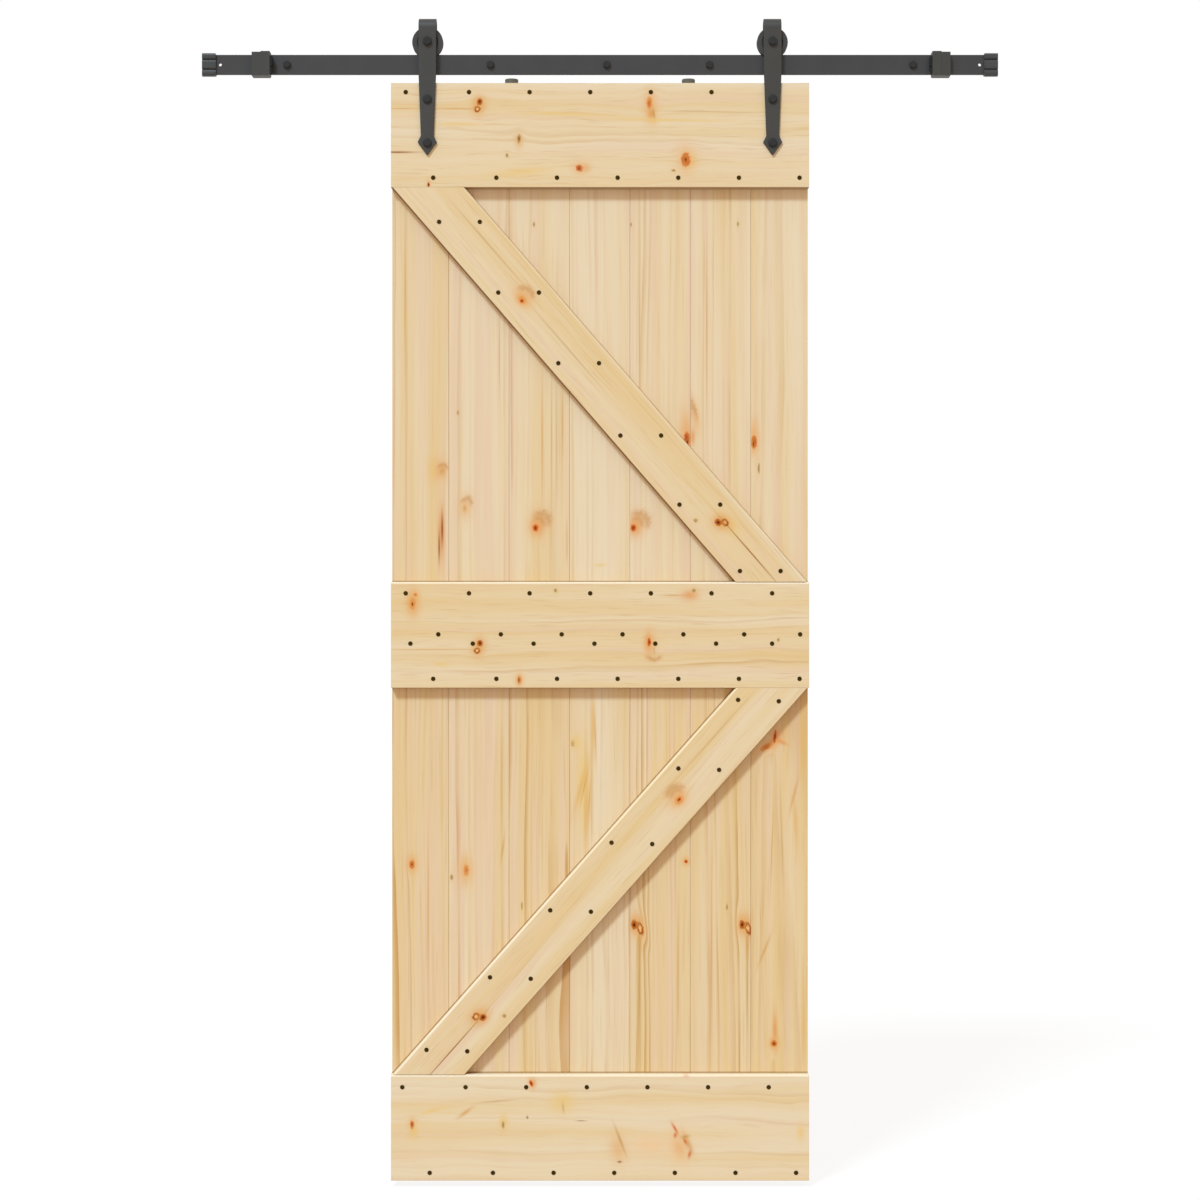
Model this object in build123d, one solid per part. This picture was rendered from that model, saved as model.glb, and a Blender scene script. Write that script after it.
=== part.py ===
from build123d import *
import os
from math import cos, radians

# A ledged and braced pine sliding door that hangs by two hooked straps with grooved
# wheels from a flat steel rail, which stands off the wall on five spacers.
# Millimetres. +X runs along the rail, to the right seen from the room, +Y points into
# the wall and +Z up. The origin is on the wall face of the middle spacer.
# Everything is drawn about the middle of the rail, and moved to the origin when saved.

# Door leaf
DOOR_WIDTH = 800.0
DOOR_HEIGHT = 2100.0
DOOR_GAP = 18.0
WALL_GAP = 16.5

# Vertical tongue and groove planks
PLANK_COUNT = 7
OUTER_PLANK_TRIM = 7.0
PLANK_THICKNESS = 18.0
PLANK_INSET = 1.0
TONGUE_LENGTH = 7.0
TONGUE_THICKNESS = 6.0
TONGUE_PLAY = 0.3
SEAM_CHAMFER = 1.2

# Ledges across the planks, and the two braces between them
TOP_LEDGE_HEIGHT = 199.5
MIDDLE_LEDGE_HEIGHT = 203.0
BOTTOM_LEDGE_HEIGHT = 203.0
LEDGE_THICKNESS = 20.0
MIDDLE_LEDGE_BASE = 942.7
BRACE_CUT = 137.0
BRACE_INSET = 3.5
UPPER_ROUND = 4.5
ARRIS_ROUND = 0.8

# Flat rail
RAIL_LENGTH = 1520.0
RAIL_HEIGHT = 38.0
RAIL_THICKNESS = 6.0
RAIL_EDGE = 0.8
END_HOLE_DIAMETER = 6.0
END_HOLE_INSET = 32.0

# Wall fixings: spacers and lag bolts
OUTER_FIXING_INSET = 160.0
INNER_FIXING = 210.0
MIDDLE_FIXING = 13.0
SPACER_DIAMETER = 22.0
LAG_DIAMETER = 8.0
LAG_HEAD_FLATS = 13.0
LAG_HEAD_HEIGHT = 5.5
LAG_SHORT_OF_WALL = 0.5

# End stops and their rubber bumpers
LEFT_STOP_INSET = 94.0
RIGHT_STOP_INSET = 89.9
STOP_WIDTH = 34.4
STOP_ABOVE = 4.2
STOP_BELOW = 4.5
STOP_STEP = 1.3
STOP_FRONT = 15.5
STOP_BACK = 6.0
STOP_GROOVE = 0.8
STOP_CHAMFER = 2.0
BUMPER_LENGTH = 5.5
BUMPER_DEPTH = 9.0
BUMPER_UPPER = 19.0
BUMPER_LOWER = 10.0
BUMPER_NOTCH = 2.0
BUMPER_NOTCH_DROP = 7.0
BUMPER_ROUND = 1.5

# Ribbed caps over the ends of the rail
CAP_LENGTH = 26.5
CAP_END_WALL = 2.5
CAP_HEIGHT = 44.0
CAP_DEPTH = 15.0
CAP_MIDDLE_RIB = 19.0
CAP_GROOVE = 3.0
CAP_RIB_ROUND = 4.5
CAP_CHAMFER = 2.0

# Hooked hanger straps
HANGER_INSET = 69.8
STRAP_WIDTH = 33.6
STRAP_THICKNESS = 5.0
STRAP_GAP = 27.0
STRAP_HEADROOM = 11.5
STRAP_EDGE = 0.7
NECK_WIDTH = 24.6
NECK_DROP = 102.0
ARROW_WIDTH = 36.6
ARROW_WIDEST_DROP = 114.0
ARROW_TIP_DROP = 139.5
ARROW_TIP_ROUND = 2.0

# Bolts through the straps and the leaf
STRAP_BOLT_DIAMETER = 8.0
STRAP_BOLT_HEAD = 16.6
STRAP_BOLT_HEAD_HEIGHT = 5.0
STRAP_BOLT_HEAD_ROUND = 2.6
UPPER_BOLT_DROP = 31.5
LOWER_BOLT_DROP = 115.3
STRAP_NUT_FLATS = 13.0
STRAP_NUT_HEIGHT = 6.0
STRAP_NUT_FLANGE = 18.0
STRAP_NUT_FLANGE_HEIGHT = 1.6

# Grooved wheels and their axles
WHEEL_DIAMETER = 59.0
WHEEL_WIDTH = 19.0
WHEEL_FLANGE_DEPTH = 6.8
WHEEL_RIM_CHAMFER = 1.0
WHEEL_DISH = 1.5
WHEEL_RIM_WALL = 2.5
HUB_DIAMETER = 20.0
GROOVE_WIDTH = 8.0
GROOVE_FLARE = 1.5
AXLE_DIAMETER = 10.0
AXLE_HEAD_FLATS = 15.0
AXLE_HEAD_HEIGHT = 6.0
AXLE_NUT_HEIGHT = 7.0
AXLE_THREAD_END = 2.0

# Discs on the head of the leaf that keep it from jumping off the rail
DISC_SPACING = 339.0
DISC_DIAMETER = 25.4
DISC_HEIGHT = 9.0
DISC_CHAMFER = 0.8

# Fits
BOLT_PLAY = 0.3
RUNNING_CLEARANCE = 0.05
ROLLING_CLEARANCE = 0.3
SIDE_CLEARANCE = 0.3
HEX_CHAMFER = 0.8

# Places worked out from the sizes
PLANK_FACE = (DOOR_WIDTH - 2 * PLANK_INSET + 2 * OUTER_PLANK_TRIM) / PLANK_COUNT
DOOR_BACK_Y = -WALL_GAP
PLANK_FRONT_Y = DOOR_BACK_Y - PLANK_THICKNESS
DOOR_FRONT_Y = PLANK_FRONT_Y - LEDGE_THICKNESS
RAIL_Y = DOOR_FRONT_Y + STRAP_GAP / 2
RAIL_BACK_Y = RAIL_Y + RAIL_THICKNESS / 2
RAIL_FRONT_Y = RAIL_Y - RAIL_THICKNESS / 2
RAIL_TOP = RAIL_HEIGHT / 2
RAIL_END = RAIL_LENGTH / 2
DOOR_TOP = -RAIL_TOP - DOOR_GAP
DOOR_FOOT = DOOR_TOP - DOOR_HEIGHT
HANGER_X = DOOR_WIDTH / 2 - HANGER_INSET
GROOVE_RADIUS = WHEEL_DIAMETER / 2 - WHEEL_FLANGE_DEPTH
AXLE_Z = RAIL_TOP + ROLLING_CLEARANCE + GROOVE_RADIUS
STRAP_FRONT_Y = DOOR_FRONT_Y - STRAP_THICKNESS
STRAP_REAR_Y = RAIL_Y + STRAP_GAP / 2
STRAP_OUTER_RADIUS = STRAP_GAP / 2 + STRAP_THICKNESS
BEND_Z = AXLE_Z + WHEEL_DIAMETER / 2 + STRAP_HEADROOM - STRAP_GAP / 2
OUTER_FIXING = RAIL_END - OUTER_FIXING_INSET
FIXINGS_X = [-OUTER_FIXING, -INNER_FIXING, MIDDLE_FIXING, INNER_FIXING, OUTER_FIXING]
STRAP_BOLTS_Z = [DOOR_TOP - UPPER_BOLT_DROP, DOOR_TOP - LOWER_BOLT_DROP]
SIDES = {"left": -1, "right": 1}
STOP_INSETS = {-1: LEFT_STOP_INSET, 1: RIGHT_STOP_INSET}


def block(x0, x1, y0, y1, z0, z1):
    """A box between two corners."""
    corner = (Align.MIN, Align.MIN, Align.MIN)
    return Pos(x0, y0, z0) * Box(x1 - x0, y1 - y0, z1 - z0, align=corner)


def rod(x, z, y0, y1, diameter):
    """A round bar along Y."""
    seat = (Align.CENTER, Align.CENTER, Align.MIN)
    return Pos(x, y0, z) * Rot(-90, 0, 0) * Cylinder(diameter / 2, y1 - y0, align=seat)


def hexagon(x, z, y0, y1, flats, outer_is_front):
    """A hexagon head or nut along Y, a corner upwards, with its outer face chamfered."""
    corners = flats / cos(radians(30))
    outline = RegularPolygon(corners / 2, 6, rotation=90)
    body = Pos(x, y1, z) * extrude(Plane.XZ * outline, y1 - y0)
    outer = body.faces().sort_by(Axis.Y)[0 if outer_is_front else -1]
    return chamfer(outer.edges(), HEX_CHAMFER)


def side_plate(outline, y0, y1):
    """An outline in X and Z made a plate from y0 back to y1."""
    return Pos(0, y1, 0) * extrude(Plane.XZ * outline, y1 - y0)


def strap_bolt_holes():
    """Holes for the strap bolts, right through the leaf and the straps."""
    diameter = STRAP_BOLT_DIAMETER + 2 * BOLT_PLAY
    holes = []
    for side in SIDES.values():
        for z in STRAP_BOLTS_Z:
            holes.append(rod(side * HANGER_X, z, STRAP_FRONT_Y, DOOR_BACK_Y, diameter))
    return holes


def plank(index):
    """One plank: a groove on its left edge and a tongue on its right, none at the door's edges."""
    seams = [PLANK_FACE * (n - PLANK_COUNT / 2) for n in range(1, PLANK_COUNT)]
    edges = [PLANK_INSET - DOOR_WIDTH / 2] + seams + [DOOR_WIDTH / 2 - PLANK_INSET]
    left, right = edges[index], edges[index + 1]
    middle_y = (PLANK_FRONT_Y + DOOR_BACK_Y) / 2
    is_first = index == 0
    is_last = index == PLANK_COUNT - 1
    body = block(left, right, PLANK_FRONT_Y, DOOR_BACK_Y, DOOR_FOOT, DOOR_TOP)
    front = body.faces().sort_by(Axis.Y)[0]
    left_arris, right_arris = front.edges().filter_by(Axis.Z).sort_by(Axis.X)
    if is_first:
        body = chamfer(right_arris, SEAM_CHAMFER)
    elif is_last:
        body = chamfer(left_arris, SEAM_CHAMFER)
    else:
        body = chamfer([left_arris, right_arris], SEAM_CHAMFER)
    if not is_first:
        half = TONGUE_THICKNESS / 2 + TONGUE_PLAY
        depth = TONGUE_LENGTH + TONGUE_PLAY
        body -= block(left, left + depth, middle_y - half, middle_y + half, DOOR_FOOT, DOOR_TOP)
    if not is_last:
        half = TONGUE_THICKNESS / 2
        tip = right + TONGUE_LENGTH
        body += block(right, tip, middle_y - half, middle_y + half, DOOR_FOOT, DOOR_TOP)
    for hole in strap_bolt_holes():
        body -= hole
    return body


def ledge(base, height, upper_round):
    """A board across the planks from base upwards, its upper front edge rounded by upper_round."""
    half = DOOR_WIDTH / 2
    body = block(-half, half, DOOR_FRONT_Y, PLANK_FRONT_Y, base, base + height)
    front = body.faces().sort_by(Axis.Y)[0]
    body = fillet(front.edges().sort_by(Axis.Z)[-1], upper_round)
    front = body.faces().sort_by(Axis.Y)[0]
    body = fillet(front.edges().sort_by(Axis.Z)[:-1], ARRIS_ROUND)
    for hole in strap_bolt_holes():
        body -= hole
    return body


def brace(low, high, low_side):
    """A board from one ledge to the next, its ends cut level, its long front edges rounded."""
    reach = DOOR_WIDTH / 2 - BRACE_INSET
    inner = reach - BRACE_CUT
    foot = [low_side * reach, low_side * inner]
    head = [-low_side * inner, -low_side * reach]
    corners = [(foot[0], low), (foot[1], low), (head[1], high), (head[0], high)]
    body = side_plate(make_face(Polyline(*corners, close=True)), DOOR_FRONT_Y, PLANK_FRONT_Y)
    front = body.faces().sort_by(Axis.Y)[0]
    long_edges = front.edges().sort_by(SortBy.LENGTH)[-2:].sort_by(Axis.X)
    lower, upper = long_edges[::low_side]
    body = fillet(upper, UPPER_ROUND)
    return fillet(body.edges().sort_by_distance(lower.center())[0], ARRIS_ROUND)


def rail():
    """The flat bar, with holes for the wall bolts and a small hole near each end."""
    body = block(-RAIL_END, RAIL_END, RAIL_FRONT_Y, RAIL_BACK_Y, -RAIL_TOP, RAIL_TOP)
    body = fillet(body.edges().filter_by(Axis.X), RAIL_EDGE)
    for x in FIXINGS_X:
        body -= rod(x, 0, RAIL_FRONT_Y, RAIL_BACK_Y, LAG_DIAMETER + 2 * BOLT_PLAY)
    for side in SIDES.values():
        x = side * (RAIL_END - END_HOLE_INSET)
        body -= rod(x, 0, RAIL_FRONT_Y, RAIL_BACK_Y, END_HOLE_DIAMETER)
    return body


def wall_spacer(x):
    """A tube between the wall and the back of the rail."""
    bore = rod(x, 0, RAIL_BACK_Y, 0, LAG_DIAMETER + 2 * BOLT_PLAY)
    return rod(x, 0, RAIL_BACK_Y, 0, SPACER_DIAMETER) - bore


def rail_bolt(x):
    """A lag bolt through the rail and its spacer, drawn as far as the wall."""
    head = hexagon(x, 0, RAIL_FRONT_Y - LAG_HEAD_HEIGHT, RAIL_FRONT_Y, LAG_HEAD_FLATS, True)
    return head + rod(x, 0, RAIL_FRONT_Y, -LAG_SHORT_OF_WALL, LAG_DIAMETER)


def stop_block(side):
    """A block clamped round the rail in two halves, the inner one a little taller."""
    outer_x = side * (RAIL_END - STOP_INSETS[side])
    middle_x = outer_x - side * STOP_WIDTH / 2
    inner_x = outer_x - side * STOP_WIDTH
    front, back = RAIL_FRONT_Y - STOP_FRONT, RAIL_BACK_Y + STOP_BACK
    foot, top = -RAIL_TOP - STOP_BELOW, RAIL_TOP + STOP_ABOVE
    inner_low, inner_high = sorted((inner_x, middle_x))
    outer_low, outer_high = sorted((outer_x, middle_x))
    inner = block(inner_low, inner_high, front, back, foot, top)
    outer = block(outer_low, outer_high, front + STOP_GROOVE, back, foot, top - STOP_STEP)
    body = inner + outer
    corner = body.edges().filter_by(Axis.Y).sort_by_distance((inner_x, RAIL_Y, foot))[0]
    body = chamfer(corner, STOP_CHAMFER)
    low, high = sorted((inner_x, outer_x))
    return body - block(low, high, RAIL_FRONT_Y, RAIL_BACK_Y, -RAIL_TOP, RAIL_TOP)


def stop_bumper(side):
    """A rubber pad on the inner face of the stop, with a notch across it."""
    face_x = side * (RAIL_END - STOP_INSETS[side] - STOP_WIDTH)
    tip_x = face_x - side * BUMPER_LENGTH
    front = RAIL_FRONT_Y - STOP_FRONT
    back = front + BUMPER_DEPTH
    low, high = sorted((face_x, tip_x))
    notch_top = -BUMPER_NOTCH_DROP + BUMPER_NOTCH / 2
    notch_foot = -BUMPER_NOTCH_DROP - BUMPER_NOTCH / 2
    body = block(low, high, front, back, notch_foot - BUMPER_LOWER, notch_top + BUMPER_UPPER)
    tip = body.faces().sort_by(Axis.X)[0 if side > 0 else -1]
    body = fillet(tip.edges(), BUMPER_ROUND)
    notch_low, notch_high = sorted((tip_x, tip_x + side * BUMPER_LENGTH / 2))
    return body - block(notch_low, notch_high, front, back, notch_foot, notch_top)


def end_cap(side):
    """A cap pushed over the end of the rail, with three rounded ribs along it."""
    end_x = side * (RAIL_END + CAP_END_WALL)
    mouth_x = end_x - side * CAP_LENGTH
    low, high = sorted((end_x, mouth_x))
    core = Rectangle(CAP_DEPTH - 2 * CAP_GROOVE, CAP_HEIGHT - 2 * CAP_RIB_ROUND)
    outer_rib = (CAP_HEIGHT - CAP_MIDDLE_RIB) / 2
    outer_rib_z = CAP_MIDDLE_RIB / 2 + outer_rib / 2
    section = core
    for z, height in ((-outer_rib_z, outer_rib), (0, CAP_MIDDLE_RIB), (outer_rib_z, outer_rib)):
        section += Pos(0, z) * RectangleRounded(CAP_DEPTH, height, CAP_RIB_ROUND)
    body = Pos(low, RAIL_Y, 0) * extrude(Plane.YZ * section, high - low)
    half = CAP_HEIGHT / 2
    inset_x = mouth_x + side * CAP_CHAMFER
    corners = [(end_x, -half), (inset_x, -half), (mouth_x, CAP_CHAMFER - half)]
    corners += [(x, -z) for x, z in reversed(corners)]
    silhouette = make_face(Polyline(*corners, close=True))
    body &= side_plate(silhouette, RAIL_Y - CAP_DEPTH / 2, RAIL_Y + CAP_DEPTH / 2)
    pocket_low, pocket_high = sorted((side * RAIL_END, mouth_x))
    return body - block(pocket_low, pocket_high, RAIL_FRONT_Y, RAIL_BACK_Y, -RAIL_TOP, RAIL_TOP)


def hanger_strap(side):
    """A flat bar hooked over its wheel: a tapered front leg with an arrow end, a short rear leg."""
    tip = DOOR_TOP - ARROW_TIP_DROP
    rear_foot = AXLE_Z - STRAP_WIDTH / 2
    front_leg = Rectangle(STRAP_THICKNESS, BEND_Z - tip, align=(Align.MAX, Align.MAX))
    front_leg = Pos(-STRAP_GAP / 2, BEND_Z) * front_leg
    rear_leg = Rectangle(STRAP_THICKNESS, BEND_Z - rear_foot, align=(Align.MIN, Align.MAX))
    rear_leg = Pos(STRAP_GAP / 2, BEND_Z) * rear_leg
    ring = Circle(STRAP_OUTER_RADIUS) - Circle(STRAP_GAP / 2)
    bend_size = 2 * STRAP_OUTER_RADIUS, STRAP_OUTER_RADIUS
    upper_half = Rectangle(*bend_size, align=(Align.CENTER, Align.MIN))
    section = front_leg + rear_leg + Pos(0, BEND_Z) * (ring & upper_half)
    widest = max(STRAP_WIDTH, ARROW_WIDTH)
    bent_bar = Pos(0, RAIL_Y, 0) * extrude(Plane.YZ * section, widest / 2, both=True)

    neck_z = DOOR_TOP - NECK_DROP
    widest_z = DOOR_TOP - ARROW_WIDEST_DROP
    crown_z = BEND_Z + STRAP_OUTER_RADIUS
    right_edge = [
        (STRAP_WIDTH / 2, crown_z),
        (STRAP_WIDTH / 2, -RAIL_TOP),
        (NECK_WIDTH / 2, neck_z),
        (ARROW_WIDTH / 2, widest_z),
        (0, tip),
    ]
    left_edge = [(-x, z) for x, z in reversed(right_edge[:-1])]
    outline = make_face(Polyline(*right_edge, *left_edge, close=True))
    outline = fillet(outline.vertices().sort_by(Axis.Y)[0], ARROW_TIP_ROUND)
    body = bent_bar & side_plate(outline, STRAP_FRONT_Y, STRAP_REAR_Y + STRAP_THICKNESS)

    rear_end = (0, STRAP_REAR_Y, rear_foot)
    rear_corners = body.edges().filter_by(Axis.Y).sort_by_distance(rear_end)[:2]
    body = fillet(rear_corners, STRAP_WIDTH / 2 - STRAP_EDGE)
    front_face = body.faces().filter_by(Axis.Y).sort_by(Axis.Y)[0]
    below_bend = BEND_Z - STRAP_EDGE
    front_arrises = [edge for edge in front_face.edges() if edge.center().Z < below_bend]
    body = chamfer(front_arrises, STRAP_EDGE)
    axle_hole = AXLE_DIAMETER + 2 * BOLT_PLAY
    body -= rod(0, AXLE_Z, STRAP_FRONT_Y, STRAP_REAR_Y + STRAP_THICKNESS, axle_hole)
    body = Pos(side * HANGER_X, 0, 0) * body
    for hole in strap_bolt_holes():
        body -= hole
    return body


def strap_bolts(side):
    """Two round-headed bolts from the strap to the back of the leaf."""
    x = side * HANGER_X
    head_front = STRAP_FRONT_Y - STRAP_BOLT_HEAD_HEIGHT
    bolts = []
    for z in STRAP_BOLTS_Z:
        head = rod(x, z, head_front, STRAP_FRONT_Y, STRAP_BOLT_HEAD)
        head = fillet(head.faces().sort_by(Axis.Y)[0].edges(), STRAP_BOLT_HEAD_ROUND)
        shank = rod(x, z, STRAP_FRONT_Y, DOOR_BACK_Y, STRAP_BOLT_DIAMETER)
        bolts.append(head + shank)
    return Compound(bolts)


def strap_nuts(side):
    """Flanged nuts on the back of the leaf, closed over the ends of the strap bolts."""
    x = side * HANGER_X
    seat_y = DOOR_BACK_Y + STRAP_NUT_FLANGE_HEIGHT
    end_y = seat_y + STRAP_NUT_HEIGHT
    nuts = []
    for z in STRAP_BOLTS_Z:
        flange = rod(x, z, DOOR_BACK_Y, seat_y, STRAP_NUT_FLANGE)
        nuts.append(flange + hexagon(x, z, seat_y, end_y, STRAP_NUT_FLATS, False))
    return Compound(nuts)


def wheel(side):
    """A wheel whose groove straddles the rail, with dished sides and a hub that fills the strap's gap."""
    hub_half = STRAP_GAP / 2 - SIDE_CLEARANCE
    hub_radius = HUB_DIAMETER / 2
    half = WHEEL_WIDTH / 2
    rim = WHEEL_DIAMETER / 2
    dish_top = GROOVE_RADIUS - WHEEL_RIM_WALL
    bore = AXLE_DIAMETER / 2 + RUNNING_CLEARANCE
    right_half = [
        (GROOVE_WIDTH / 2, GROOVE_RADIUS),
        (GROOVE_WIDTH / 2 + GROOVE_FLARE, rim),
        (half - WHEEL_RIM_CHAMFER, rim),
        (half, rim - WHEEL_RIM_CHAMFER),
        (half, dish_top),
        (half - WHEEL_DISH, dish_top - WHEEL_DISH),
        (half - WHEEL_DISH, hub_radius),
        (hub_half, hub_radius),
        (hub_half, bore),
    ]
    left_half = [(-y, r) for y, r in reversed(right_half)]
    profile = make_face(Polyline(*right_half, *left_half, close=True))
    return Pos(side * HANGER_X, RAIL_Y, AXLE_Z) * revolve(Plane.YZ * profile, Axis.Y)


def axle_bolt(side):
    """The wheel's axle: a hexagon bolt through both legs of the strap."""
    x = side * HANGER_X
    end_y = STRAP_REAR_Y + STRAP_THICKNESS + AXLE_NUT_HEIGHT + AXLE_THREAD_END
    head_front = STRAP_FRONT_Y - AXLE_HEAD_HEIGHT
    head = hexagon(x, AXLE_Z, head_front, STRAP_FRONT_Y, AXLE_HEAD_FLATS, True)
    return head + rod(x, AXLE_Z, STRAP_FRONT_Y, end_y, AXLE_DIAMETER)


def axle_nut(side):
    """The nut on the axle bolt, against the strap's rear leg."""
    x = side * HANGER_X
    seat_y = STRAP_REAR_Y + STRAP_THICKNESS
    end_y = seat_y + AXLE_NUT_HEIGHT
    nut = hexagon(x, AXLE_Z, seat_y, end_y, AXLE_HEAD_FLATS, False)
    return nut - rod(x, AXLE_Z, seat_y, end_y, AXLE_DIAMETER + 2 * RUNNING_CLEARANCE)


def jump_disc(side):
    """A disc on the head of the leaf, under the rail."""
    seat = (Align.CENTER, Align.CENTER, Align.MIN)
    disc = Cylinder(DISC_DIAMETER / 2, DISC_HEIGHT, align=seat)
    disc = Pos(side * DISC_SPACING / 2, RAIL_Y, DOOR_TOP) * disc
    return chamfer(disc.faces().sort_by(Axis.Z)[-1].edges(), DISC_CHAMFER)


def save(name, shape):
    """Moves a piece to the origin at the middle fixing and writes it."""
    export_step(Pos(-MIDDLE_FIXING, 0, 0) * shape, os.path.join("parts", name + ".step"))


def main():
    """Builds and writes every piece."""
    os.makedirs("parts", exist_ok=True)
    save("track_rail", rail())
    for number, x in enumerate(FIXINGS_X, 1):
        save(f"wall_spacer_{number}", wall_spacer(x))
        save(f"rail_bolt_{number}", rail_bolt(x))
    for index in range(PLANK_COUNT):
        save(f"plank_{index + 1}", plank(index))

    top_base = DOOR_TOP - TOP_LEDGE_HEIGHT
    middle_base = DOOR_FOOT + MIDDLE_LEDGE_BASE
    save("bottom_ledge", ledge(DOOR_FOOT, BOTTOM_LEDGE_HEIGHT, UPPER_ROUND))
    save("middle_ledge", ledge(middle_base, MIDDLE_LEDGE_HEIGHT, UPPER_ROUND))
    save("top_ledge", ledge(top_base, TOP_LEDGE_HEIGHT, ARRIS_ROUND))
    save("lower_brace", brace(DOOR_FOOT + BOTTOM_LEDGE_HEIGHT, middle_base, -1))
    save("upper_brace", brace(middle_base + MIDDLE_LEDGE_HEIGHT, top_base, 1))

    for name, side in SIDES.items():
        save(f"{name}_stop_block", stop_block(side))
        save(f"{name}_stop_bumper", stop_bumper(side))
        save(f"{name}_end_cap", end_cap(side))
        save(f"{name}_hanger_strap", hanger_strap(side))
        save(f"{name}_strap_bolts", strap_bolts(side))
        save(f"{name}_strap_nuts", strap_nuts(side))
        save(f"{name}_axle_bolt", axle_bolt(side))
        save(f"{name}_axle_nut", axle_nut(side))
        save(f"{name}_wheel", wheel(side))
        save(f"{name}_jump_disc", jump_disc(side))


main()
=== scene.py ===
"""Dresses a sliding barn door: its knotty pine leaf, dark coated hangers and rail, in a studio."""

import logging
import math
from dataclasses import dataclass, field
from enum import Enum
from typing import Any, TypeVar

import bpy
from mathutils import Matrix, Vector


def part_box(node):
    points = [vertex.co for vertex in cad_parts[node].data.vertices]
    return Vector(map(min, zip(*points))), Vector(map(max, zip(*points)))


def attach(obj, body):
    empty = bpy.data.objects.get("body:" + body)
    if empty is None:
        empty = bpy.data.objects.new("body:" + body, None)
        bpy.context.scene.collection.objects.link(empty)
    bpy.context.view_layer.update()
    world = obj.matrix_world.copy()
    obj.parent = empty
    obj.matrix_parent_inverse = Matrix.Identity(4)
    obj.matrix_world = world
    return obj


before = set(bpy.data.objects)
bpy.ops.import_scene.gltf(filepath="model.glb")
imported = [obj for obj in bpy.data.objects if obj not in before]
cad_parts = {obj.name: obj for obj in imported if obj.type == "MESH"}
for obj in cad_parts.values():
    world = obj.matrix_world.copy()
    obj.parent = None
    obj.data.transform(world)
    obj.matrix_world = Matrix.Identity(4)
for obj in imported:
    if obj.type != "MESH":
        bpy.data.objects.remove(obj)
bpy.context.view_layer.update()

MM = 0.001
LOG = logging.getLogger("sliding_door")

Colour = tuple[float, float, float, float]
Span = tuple[float, float]

WHITE: Colour = (1.0, 1.0, 1.0, 1.0)


def srgb(red: int, green: int, blue: int) -> Colour:
    """Turns a colour written as 0 to 255 into the linear values that shaders use.

    Args:
        red: Red, 0 to 255.
        green: Green, 0 to 255.
        blue: Blue, 0 to 255.

    Returns:
        The linear colour, with an alpha of 1.
    """
    linear = [
        part / 12.92 if part <= 0.04045 else ((part + 0.055) / 1.055) ** 2.4
        for part in (red / 255, green / 255, blue / 255)
    ]
    return (linear[0], linear[1], linear[2], 1.0)


class Value:
    """A number that a node's socket gives, for use in Python expressions."""

    def __init__(self, sheet: "NodeSheet", socket: bpy.types.NodeSocket) -> None:
        """Wraps a socket of a sheet."""
        self.sheet = sheet
        self.socket = socket

    def __add__(self, other: "Number") -> "Value":
        """This plus other."""
        return self.sheet.maths("ADD", self, other)

    def __radd__(self, other: "Number") -> "Value":
        """Other plus this."""
        return self.sheet.maths("ADD", other, self)

    def __sub__(self, other: "Number") -> "Value":
        """This minus other."""
        return self.sheet.maths("SUBTRACT", self, other)

    def __rsub__(self, other: "Number") -> "Value":
        """Other minus this."""
        return self.sheet.maths("SUBTRACT", other, self)

    def __mul__(self, other: "Number") -> "Value":
        """This times other."""
        return self.sheet.maths("MULTIPLY", self, other)

    def __rmul__(self, other: "Number") -> "Value":
        """Other times this."""
        return self.sheet.maths("MULTIPLY", other, self)

    def __truediv__(self, other: "Number") -> "Value":
        """This over other."""
        return self.sheet.maths("DIVIDE", self, other)

    def __rtruediv__(self, other: "Number") -> "Value":
        """Other over this."""
        return self.sheet.maths("DIVIDE", other, self)

    def __neg__(self) -> "Value":
        """This with its sign turned."""
        return self.sheet.maths("MULTIPLY", self, -1.0)

    def root(self) -> "Value":
        """The square root."""
        return self.sheet.maths("SQRT", self)

    def size(self) -> "Value":
        """The value without its sign."""
        return self.sheet.maths("ABSOLUTE", self)

    def whole(self) -> "Value":
        """The whole number below."""
        return self.sheet.maths("FLOOR", self)

    def rest(self) -> "Value":
        """What is left above the whole number."""
        return self.sheet.maths("FRACT", self)

    def fade(self) -> "Value":
        """e to the power of minus this: 1 at nought, fading as it grows."""
        return self.sheet.maths("EXPONENT", -self)

    def at_least(self, other: "Number") -> "Value":
        """The larger of this and other."""
        return self.sheet.maths("MAXIMUM", self, other)

    def rise(self, low: float, high: float) -> "Value":
        """Rises smoothly with this value.

        Args:
            low: Where the result is 0.
            high: Where it is 1.

        Returns:
            The result, which stays within 0 and 1.
        """
        return self.sheet.value(
            "ShaderNodeMapRange",
            {"interpolation_type": "SMOOTHSTEP"},
            {"Value": self, "From Min": low, "From Max": high},
        )


Number = Value | float
Axis = TypeVar("Axis", Value, float)


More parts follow.
